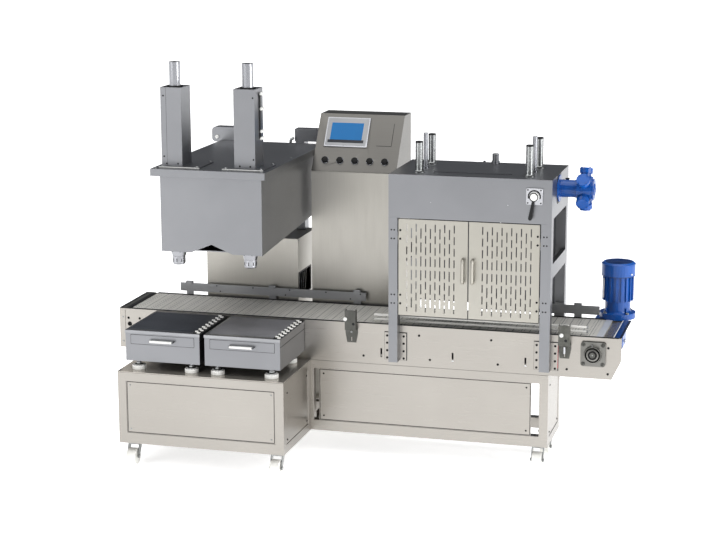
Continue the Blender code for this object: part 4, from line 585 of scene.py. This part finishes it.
def air_motor_fittings():
    """Head bolts and ribs of the five cylinders, the crank cover's bolts and boss, the black
    mounting pad, the barrel's bands and the air inlet."""
    y, z = 0.0075, 1.2655               # the crankshaft
    cylinders, leg_face = 0.9808, 0.8655
    cap, rib = disc(29.6, -6, -3), disc(23.8, 0, 3)
    bolts, ribs = [], []
    for way in bend((0, 0, 0), 1, 0, 288, Y, Z, 5):
        head = np.array([cylinders, y, z]) + 0.093 * way
        bolts.append(copies(socket_screw(7, way), corners(head, 0.018 * X, 0.018 * np.cross(way, X))))
        ribs.append(copies(turned(cap, way, 30), head))
        ribs.append(copies(turned(rib, way, 28), [head - fall * way for fall in (0.034, 0.041, 0.048)]))
    piece("cylinder_screws", bolts, ENAMEL)
    piece("cylinder_ribs", ribs, ENAMEL)
    end = BOX["air_motor"][1, 0]
    fit("crank_screws", socket_screw(6, X), bend((end - 0.010, y, z), 0.051, 0, 315, Y, Z, 8), ENAMEL)
    boss = [(0, 0), (26, 0), (26, 3), (22, 5), (10, 5), (8, 2), (0, 2)]
    fit("crank_boss", turned(boss, X, 32), (end - 0.0005, y, z), ENAMEL)
    fit("air_mount_pad", rounded_plate((96, 128), 1.6, 10, 0.6, Y, Z), (leg_face, y, z), PLASTIC)
    fit("barrel_bands", turned(disc(40, 0, 4), X, 32), [(x, y, z) for x in (0.8838, 0.9378)], ENAMEL)
    inlet = [(0, -4), (8, -4), (8, 4), (10, 4), (10, 7), (6, 8), (0, 8)]
    fit("air_inlets", turned(inlet, Z, 18), (0.9, y + 0.016, z + 0.036), BLACK_OXIDE)


def guide_fittings():
    """White clamp screws and dark holes on the two brackets, a bright strip on the right one's tongue that is
    a painted highlight, the screws at their feet, the bolts, pads and nuts of the back rails, and the caps of
    the front rods."""
    face = BOX["stop_bracket"][0, 1]
    knob = [(0, -1), (9, -1), (9, 3), (8, 7), (6, 9), (0, 9.5)]
    fit("clamp_knobs", turned(knob, -Y, 24), flat_points([(-0.0725, 0.652), (0.9145, 0.6385)], face),
        WHITE_COAT)
    fit("bracket_holes", turned(disc(6.5, 0.1, 0.5), -Y, 18),
        flat_points([(-0.034, 0.6305), (0.934, 0.615)], face), PLASTIC)
    # A bright strip on the bracket's tongue: a painted highlight.
    fit("clamp_tongue", rounded_plate((8, 30), 0.8, 2, 0.3), (0.929, face, 0.57), PALE_METAL_AND_HIGHLIGHT)
    feet = [(-0.0495, 0.5875), (0.9255, 0.5775)]
    fit("bracket_foot_screws", socket_screw(9, -Y), flat_points(feet, FRONT - 0.0033), ZINC)
    low, high = BOX["back_guide_left"]
    bolts = [(x, 0.685) for x in (-0.8182, -0.6344, -0.45, -0.27, -0.1)]
    bolts += [(x, 0.6595) for x in (-0.8008, -0.4716, -0.15)]
    screw_row("rail_bolts", 7, bolts, low[1])
    clamps = [low[0] + 0.045, (low[0] + high[0]) / 2, high[0] - 0.045]
    fit("clamp_pads", rounded_plate((30, 18), 2.0, 3, 0.8),
        [(x, low[1] + 0.0002, high[2] - 0.006) for x in clamps], RAIL_SHEET)
    nuts = [(x, high[1] - 0.0005, z) for x in clamps + [0.9295] for z in (0.585, 0.615)]
    fit("clamp_nuts", turned(disc(8, -1, 6, 1), Y, 6), nuts, ZINC)
    rods = [(BOX["front_guide"][1, 0], FRONT + 0.035, BELT_TOP + level) for level in (0.015, 0.0355)]
    fit("rod_caps", turned(disc(6.4, -6, 1.4, 1), X, 18), rods, ZINC)


def scale_fittings():
    """Mats, roller strips, drawer fronts, feet and the body seam of the two scales."""
    for side, mat_finish in (("left", SLATE_MAT), ("right", GREY_MAT)):
        low, high = BOX["scale_platform_" + side]
        left, front = low[:2] + 0.002
        right, back = high[:2] - 0.002
        top, pitch = high[2], 0.0155
        mat_low, mat_high = np.array([left + 0.009, front + 0.03]), np.array([right - 0.034, back - 0.009])
        mat = rounded_plate((mat_high - mat_low) * 1000 - 1.0, 1.8, 3, 0.6, X, Y)
        fit("scale_mat_" + side, mat, (*((mat_low + mat_high) / 2), top - 0.0015), mat_finish)
        bed = rounded_plate((33, (back - front) * 1000 - 2), 1.0, 1, 0.3, X, Y)
        fit("roller_bed_" + side, bed, (right - 0.0172, (front + back) / 2, top), PLASTIC)
        roller = turned(disc(7, -7, 7), X, 12)
        rows = list(enumerate(np.linspace(front + 0.018, back - 0.018, 16)))
        dark = [(right - 0.025 + pitch * (k % 2), y, top - 0.0022) for k, y in rows]
        pale = [(right - 0.0095 - pitch * (k % 2), y, top - 0.0012) for k, y in rows]
        fit("black_rollers_" + side, roller, dark, PLASTIC)
        fit("white_rollers_" + side, roller, pale, NYLON)
        body_low, body_high = BOX["scale_body_" + side]
        tray_low, tray_high = BOX["drip_tray_" + side]
        width = (body_high[0] - body_low[0]) * 1000 - 52
        middle_x, middle_z = (body_low[0] + body_high[0]) / 2, (tray_low[2] + tray_high[2]) / 2
        drawer = (middle_x, body_low[1], middle_z + 0.002)
        fit("drawer_gap_" + side, rounded_plate((width + 3, 45), 0.8, 3, 0.3), drawer, PLASTIC)
        rim = rounded_plate(((high[0] - low[0]) * 1000, 12.5), 0.5, 1, 0.2)
        fit("platform_rim_" + side, rim, ((low[0] + high[0]) / 2, low[1], top - 0.0071), RAIL_SHEET)
        fit("drawer_front_" + side, rounded_plate((width, 42), 1.6, 3, 0.6), drawer, BLASTED, "tray_" + side)
        fit("drawer_grip_" + side, turned(disc(5.4, -52, 52), X, 16),
            (middle_x, tray_low[1] + 0.004, middle_z), WHITE_COAT, "tray_" + side)
        feet = [(x, y, TABLE_LEVEL) for x in (left + 0.05, right - 0.05) for y in (front + 0.03, back - 0.06)]
        cup = [(0, 0.3), (31, 0.3), (31, 16), (29, 20), (24, 21), (0, 21)]
        ring = [(0, 20.5), (19, 20.5), (19, 23), (13, 24), (0, 24)]
        fit("foot_cups_" + side, turned(cup, Z, 32), feet, NYLON)
        fit("foot_rings_" + side, turned(ring, Z, 28), feet, PLASTIC)
        fit("foot_nuts_" + side, turned(disc(13, 23, 31, 1), Z, 6), feet, ZINC)
        seam = [(body_high[0] + 0.0001, y, 0.588) for y in (body_low[1] + 0.001, body_high[1] - 0.001)]
        piece("body_seam_" + side, [bar(seam, 0.0011, Z, 6)], PLASTIC)


def base_fittings():
    """Corner screws in the base's panels, and dark seals round the two front panels."""
    for name, inset, finish in (("main_front_panel", 0.022, BLACK_OXIDE), ("table_front_panel", 0.018, ZINC)):
        low, high = BOX[name]
        places = [(x, low[1] + 0.001, z) for x in (low[0] + inset, high[0] - inset)
                  for z in (low[2] + inset, high[2] - inset)]
        fit(name + "_screws", button_screw(9, -Y), places, finish)
        thick = 0.0015
        lower = np.array([(x, low[1], low[2] + 0.003) for x in (low[0] + 0.004, high[0] - 0.004)])
        upper = lower + (0, 0, high[2] - low[2] - 0.006)
        edges = [bar(lower, thick, Z, 6), bar(upper, thick, Z, 6)]
        edges += [bar([lower[k], upper[k]], thick, X, 6) for k in (0, 1)]
        piece(name + "_seal", edges, PLASTIC)
    inset = 0.018
    for name, way in (("main_side_panel", 1), ("table_side_panel", 1), ("main_left_panel", -1),
                      ("table_left_panel", -1)):
        low, high = BOX[name]
        x = high[0] if way > 0 else low[0]
        places = [(x, y, z) for y in (low[1] + inset, high[1] - inset)
                  for z in (low[2] + inset, high[2] - inset)]
        fit(name + "_screws", button_screw(9, way * X), places, BLACK_OXIDE)


def caster_fittings():
    """Hub discs and treads with rounded shoulders on the wheels, axle nuts and swivel seals."""
    nut = disc(8, -1, 5, 1)
    seal = [(0, 2), (26.5, 2), (27.5, 4), (27.5, 8), (26, 10), (0, 10)]
    for number in range(1, 7):
        wheel, swivel = "wheel_%d" % number, "swivel_%d" % number
        low, high = BOX["caster_" + wheel]
        centre = (low + high) / 2
        half, radius = (high[0] - low[0]) * 500, (high[2] - low[2]) * 500
        hub = [(0, -half - 0.6), (12, -half - 0.6), (12, -half + 0.4), (25, -half - 0.2),
               (27, -half + 0.2), (0, -half + 0.2)]
        far_hub = [(r, -h) for r, h in hub[::-1]]
        piece("wheel_hubs_%d" % number, [copies(turned(profile, X, 32), centre)
                                         for profile in (hub, far_hub)], NYLON, wheel)
        tread = [(0, 5 - half), (radius * 0.99, 5 - half), (radius + 0.15, 7 - half),
                 (radius + 0.15, half - 7), (radius * 0.99, half - 5), (0, half - 5)]
        fit("wheel_tread_%d" % number, turned(tread, X, 48), centre, NYLON, wheel)
        fork_low, fork_high = BOX["caster_fork_%d" % number]
        ends = [copies(turned(nut, way * X, 6), (x, centre[1], centre[2]))
                for way, x in ((-1, fork_low[0] + 0.003), (1, fork_high[0] - 0.003))]
        piece("axle_nuts_%d" % number, ends, ZINC, swivel)
        fit("swivel_seal_%d" % number, turned(seal, Z, 32),
            (centre[0], centre[1] + 0.028, fork_high[2] - 0.012), PLASTIC, swivel)


def housing_fittings():
    """The columns' seam, screws, foot plates and air fittings, the nozzles' flanges and collars,
    the tubes' wipers and rims, and the screws of the lid and the rear support."""
    sides = ("left", "right")
    columns = [BOX["lift_column_" + side] for side in sides]
    face = columns[0][0, 1] + 0.033
    screws = [(-0.8365, 1.6702), (-0.8378, 1.4009), (-0.8258, 1.3695), (-0.7733, 1.3697),
              (-0.4207, 1.6705), (-0.421, 1.3995), (-0.4844, 1.3692), (-0.4363, 1.3684)]
    screw_row("column_screws", 8, screws, face)
    piece("column_seam", [bar([(-0.824, face, z) for z in (1.362, 1.705)], 0.0006, X, 6)], PLASTIC)
    plate = [(x, low[1] + along, LID_TOP + 0.0053) for low, high in columns
             for x in (low[0] + 0.014, high[0] - 0.014) for along in (0.012, 0.178)]
    fit("foot_plate_bolts", turned(disc(6, -1, 5, 1), Z, 6), plate, ZINC)
    for side, (low, high) in zip(sides, columns):
        edge = rounded_plate(((high[0] - low[0]) * 1000, 4.4), 0.5, 1, 0.2)
        fit("foot_plate_edge_" + side, edge, ((low[0] + high[0]) / 2, low[1], LID_TOP + 0.0029), WHITE_COAT)
    x, y = -0.413, -0.3112              # the air cylinder's slot on the right column
    fit("cylinder_slot", rounded_plate((14, 205), 5, 2, 1, Y, Z), (x - 0.0005, y, 1.586), PLASTIC)
    fittings = []
    for z in (1.682, 1.616, 1.5165, 1.4857):
        fittings.append(bar(bend((x, -0.295, z), 0.012, -60, 90, X, Y, 8), 0.0066, Z, 12))
        fittings.append(copies(turned(disc(7, 0, 7), X, 16), (x + 0.002, y, z)))
    piece("air_elbows", fittings, WHITE_COAT)
    flange = [(0, -1), (43, -1), (43, 5), (41, 6.5), (0, 6.5)]
    thread = [(28.2 + out, crest + rise) for crest in np.arange(2, 33, 4.0)
              for out, rise in ((0, 0), (1, 1), (1, 2.4), (0, 3.2))]
    wiper = [(25.8, -3.6), (35, -3.6), (35, 1.5), (33, 3), (25.8, 3), (25.8, -3.6)]
    rim = [(21.3, 0), (25.2, 0), (25.2, -8), (25.9, -8), (25.9, 0.8), (21.3, 0.8), (21.3, 0)]
    for side, (_, column_high) in zip(sides, columns):
        low, high = BOX["filling_lance_" + side]
        lance = "lance_" + side
        x, y, _ = (low + high) / 2
        fit("nozzle_flange_" + side, turned(flange, Z, 40), (x, y, 0.9685), PLASTIC, lance)
        fit("nozzle_screws_" + side, socket_screw(7, -Z), bend((x, y, 0.9675), 0.0375, 0, 300, X, Y, 6),
            BLACK_OXIDE, lance)
        fit("nozzle_collar_" + side, turned([(0, 0), *thread, (0, 34)], Z, 36), (x, y, 0.909), PALE_METAL_AND_HIGHLIGHT,
            lance)
        marks = [copies(rounded_plate((4, 16), 2, 1, 0.4, np.cross(Z, way), Z),
                        np.array([x, y, 0.925]) + 0.0275 * way)
                 for way in bend((0, 0, 0), 1, 0, 315, X, Y, 8)]
        piece("collar_marks_" + side, marks, PLASTIC, lance)
        fit("lance_wiper_" + side, turned(wiper, Z, 40), (x, y, column_high[2]), PLASTIC)
        fit("lance_rim_" + side, turned(rim, Z, 40), (x, y, high[2] - 0.0006), POLISHED, lance)
    low, high = BOX["housing_lid"]
    places = [(x, y, LID_TOP) for x in (low[0] + 0.02, high[0] - 0.02)
              for y in (low[1] + 0.02, 0.0, high[1] - 0.02)]
    fit("lid_screws", button_screw(9, Z), places, ZINC)
    fit("head_bolt", turned(disc(9, -1, 7, 2), -Y, 20), (-0.895, 0.4707, 1.372), WHITE_COAT)
    fitting = bend((-0.5, 0.46, 1.362), 0.016, 90, 200, X, Z, 10)
    piece("head_fitting", [bar(fitting, 0.007, Y, 14)], ZINC)


def cabinet_fittings():
    """The console's bezel, display, key strip, seam and buttons, the rear doors' seams, hinges,
    vents and locks, and the lower cabinet's screws and hatch."""
    low, high = BOX["operator_console"]
    run, rise = 0.17, 0.25              # of the sloping front
    tilt = math.atan2(run, rise)
    down = np.array([0, -math.sin(tilt), -math.cos(tilt)])
    out = np.array([0, -math.cos(tilt), math.sin(tilt)])
    corner = np.array([low[0], 0.2375 + run, high[2]])

    def on_slope(along, fall, lift=0.0):
        return corner + along * X + fall * down + lift * out

    fields = (("bezel_frame", (209.5, 154), 1.4, 4, 0.8, (0.146, 0.098, 0.0039), PALE_METAL_AND_HIGHLIGHT),
              ("bezel_inner", (197, 142), 1.0, 3, 0.5, (0.1455, 0.0972, 0.0052), RAIL_SHEET),
              ("display", (155, 89), 0.8, 1, 0.3, (0.144, 0.0951, 0.0061), DISPLAY),
              ("key_strip", (175, 15), 0.8, 1, 0.3, (0.144, 0.1473, 0.0062), SLATE_MAT))
    for name, size, thick, round_by, edge, where, finish in fields:
        fit(name, rounded_plate(size, thick, round_by, edge, X, -down), on_slope(*where), finish)
    turn = on_slope(0.3675, 0.163)
    seam = [bar([on_slope(0.3675, 0.0446), turn], 0.0011, out, 6),
            bar([turn, on_slope(0.2955, 0.163)], 0.0011, out, 6)]
    piece("console_seam", seam, PLASTIC)
    places = [on_slope(0.0585 + 0.0726 * number, math.hypot(run, rise) - 0.0571) for number in range(5)]
    ring = [(0, 0.2), (18, 0.2), (18, 1.6), (17, 2.4), (0, 2.4)]
    cap = [(0, 2), (15.4, 2), (15.4, 9.2), (14, 10.6), (10, 11.2), (0, 11.4)]
    fit("button_rings", turned(ring, out, 32), places, POLISHED)
    fit("button_caps", turned(cap, out, 32), places, BLACK_OXIDE)
    for label, middle_z, tall in (("tall", 0.69, 1.02), ("lower", 0.54, 0.7)):
        low, high = BOX[label + "_cabinet"]
        centre, half, rise = (low[0] + high[0]) / 2, (high[0] - low[0]) / 2 - 0.02, tall / 2
        face = high[1] - 0.0008
        ends = [(centre + i * half, face, middle_z + k * rise)
                for i, k in ((-1, -1), (1, -1), (1, 1), (-1, 1))]
        piece(label + "_rear_seam", [bar([ends[k], ends[k - 1]], 0.001, Y, 6) for k in range(4)], PLASTIC)
        hinges = [(centre - half - 0.006, face - 0.0062, middle_z + rise * k) for k in (-0.75, 0, 0.75)]
        fit(label + "_hinges", turned(disc(6.5, -28, 28), Z, 16), hinges, ZINC)
        vents = [(centre, face, middle_z - rise + 0.06 + 0.012 * k) for k in range(8)]
        fit(label + "_vents", rounded_plate((120, 4), 1.0, 1.9, 0.4, -X, Z), vents, PLASTIC)
        lock = [(0, -1), (11, -1), (11, 0.8), (9, 1.0), (0, 1.0)]
        fit(label + "_lock", turned(lock, Y, 24), (centre + half - 0.03, high[1] - 0.001, middle_z), ZINC)
    low, high = BOX["lower_cabinet"]
    places = [(high[0], y, z) for z in (0.92, 0.17) for y in (0.25, 0.51)]
    fit("cabinet_side_screws", button_screw(8, X), places, ZINC)
    x = high[0] - 0.0003
    upright, level = (rounded_plate(size, 1.6, 1, 0.5, Y, Z) for size in ((6, 116), (203, 6)))
    piece("hatch_frame", [copies(upright, [(x, y, 0.705) for y in (0.2455, 0.4425)]),
                          copies(level, [(x, 0.344, z) for z in (0.763, 0.647)])], PLASTIC)
    rods = [[(high[0] - 0.012, y + 0.034 * k, z) for y, z in ((0.25, 0.651), (0.27, 0.759))]
            for k in range(5)]
    piece("hatch_grille", [bar(path, 0.0022, X, 8) for path in rods], ZINC)
    places = [(x, y, high[2]) for x in (low[0] + 0.02, high[0] - 0.02)
              for y in (low[1] + 0.02, high[1] - 0.09)]
    fit("cabinet_top_screws", button_screw(8, Z), places, ZINC)


# camera, floor and light
def set_camera():
    """The photograph's view: 91 mm lens, 7.9 m off, 15.4 degrees to the right, 12.1 down."""
    turn, drop, roll = (math.radians(angle) for angle in (15.416, 12.106, -0.180))
    ahead = Vector((-math.sin(turn) * math.cos(drop), math.cos(turn) * math.cos(drop), -math.sin(drop)))
    right = ahead.cross(Vector((0, 0, 1))).normalized()
    up = right.cross(ahead)
    across_image = math.cos(roll) * right + math.sin(roll) * up
    above = -math.sin(roll) * right + math.cos(roll) * up
    data = bpy.data.cameras.new("camera")
    data.lens, data.sensor_width, data.clip_end = 91.14, 36.0, 300.0
    camera = bpy.data.objects.new("camera", data)
    camera.matrix_world = Matrix.Translation((2.1265, -7.8705, 2.600)) @ Matrix(
        (across_image, above, -ahead)).transposed().to_4x4()
    SCENE.collection.objects.link(camera)
    SCENE.camera = camera


def add_light(kind, name, place, aim, power, size):
    """A sun, whose size is its width in degrees, or a softbox of size (width, height)."""
    data = bpy.data.lights.new(name, kind)
    data.energy = power
    if kind == "AREA":
        data.shape, data.size, data.size_y = "RECTANGLE", size[0], size[1]
    else:
        data.angle = math.radians(size)
    light = bpy.data.objects.new(name, data)
    light.location = place
    light.rotation_euler = (Vector(aim) - Vector(place)).to_track_quat("-Z", "Y").to_euler()
    SCENE.collection.objects.link(light)


def set_studio():
    """A white table-like floor that glows a little, so that it stays white behind the machine,
    under a sky that is dark low down, which the upward faces mirror, and bright overhead."""
    SCENE.view_settings.view_transform = "Standard"
    world = bpy.data.worlds.new("studio")
    SCENE.world = world
    world.use_nodes = True
    tree = world.node_tree
    tree.nodes.clear()
    ways = add_node(tree, "TexCoord").outputs["Generated"]
    parts = add_node(tree, "SeparateXYZ", links={0: ways})
    ramp = add_node(tree, "ValToRGB", links={0: parts.outputs["Z"]})
    stops = ramp.color_ramp.elements
    stops[0].position, stops[0].color = 0.0, linear("#56585c")
    stops[1].position, stops[1].color = 0.95, linear("#f4f4f4")
    stops.new(0.3).color = linear("#404247")
    stops.new(0.6).color = linear("#7c7e82")
    shade = add_node(tree, "Background", {"Strength": 1.0}, {"Color": ramp.outputs[0]})
    add_node(tree, "OutputWorld", links={0: shade.outputs[0]})
    made, _, _ = new_material("white_studio_floor", {
        "Base Color": linear("#fafafa"), "Roughness": 0.9,
        "Emission Color": linear("#ffffff"), "Emission Strength": 0.72})
    bpy.ops.mesh.primitive_plane_add(size=240)
    floor = bpy.context.object
    floor.name = "studio_floor"
    floor.data.materials.append(made)
    add_light("SUN", "overhead", (0, 0, 6), (0.1, 0.3, 0), 1.3, 60)
    add_light("AREA", "left_softbox", (-4.5, -4.5, 3.0), (0, 0, 0.8), 130, (3, 3))
    add_light("AREA", "right_softbox", (5.0, -1.2, 2.2), (0, 0, 0.9), 150, (2.2, 3))


dress_solids()
conveyor_fittings()
mounting_screws()
door_pulls()
capping_top()
selector_fittings()
drive_dressing()
air_motor_fittings()
guide_fittings()
scale_fittings()
base_fittings()
caster_fittings()
housing_fittings()
cabinet_fittings()
set_camera()
set_studio()
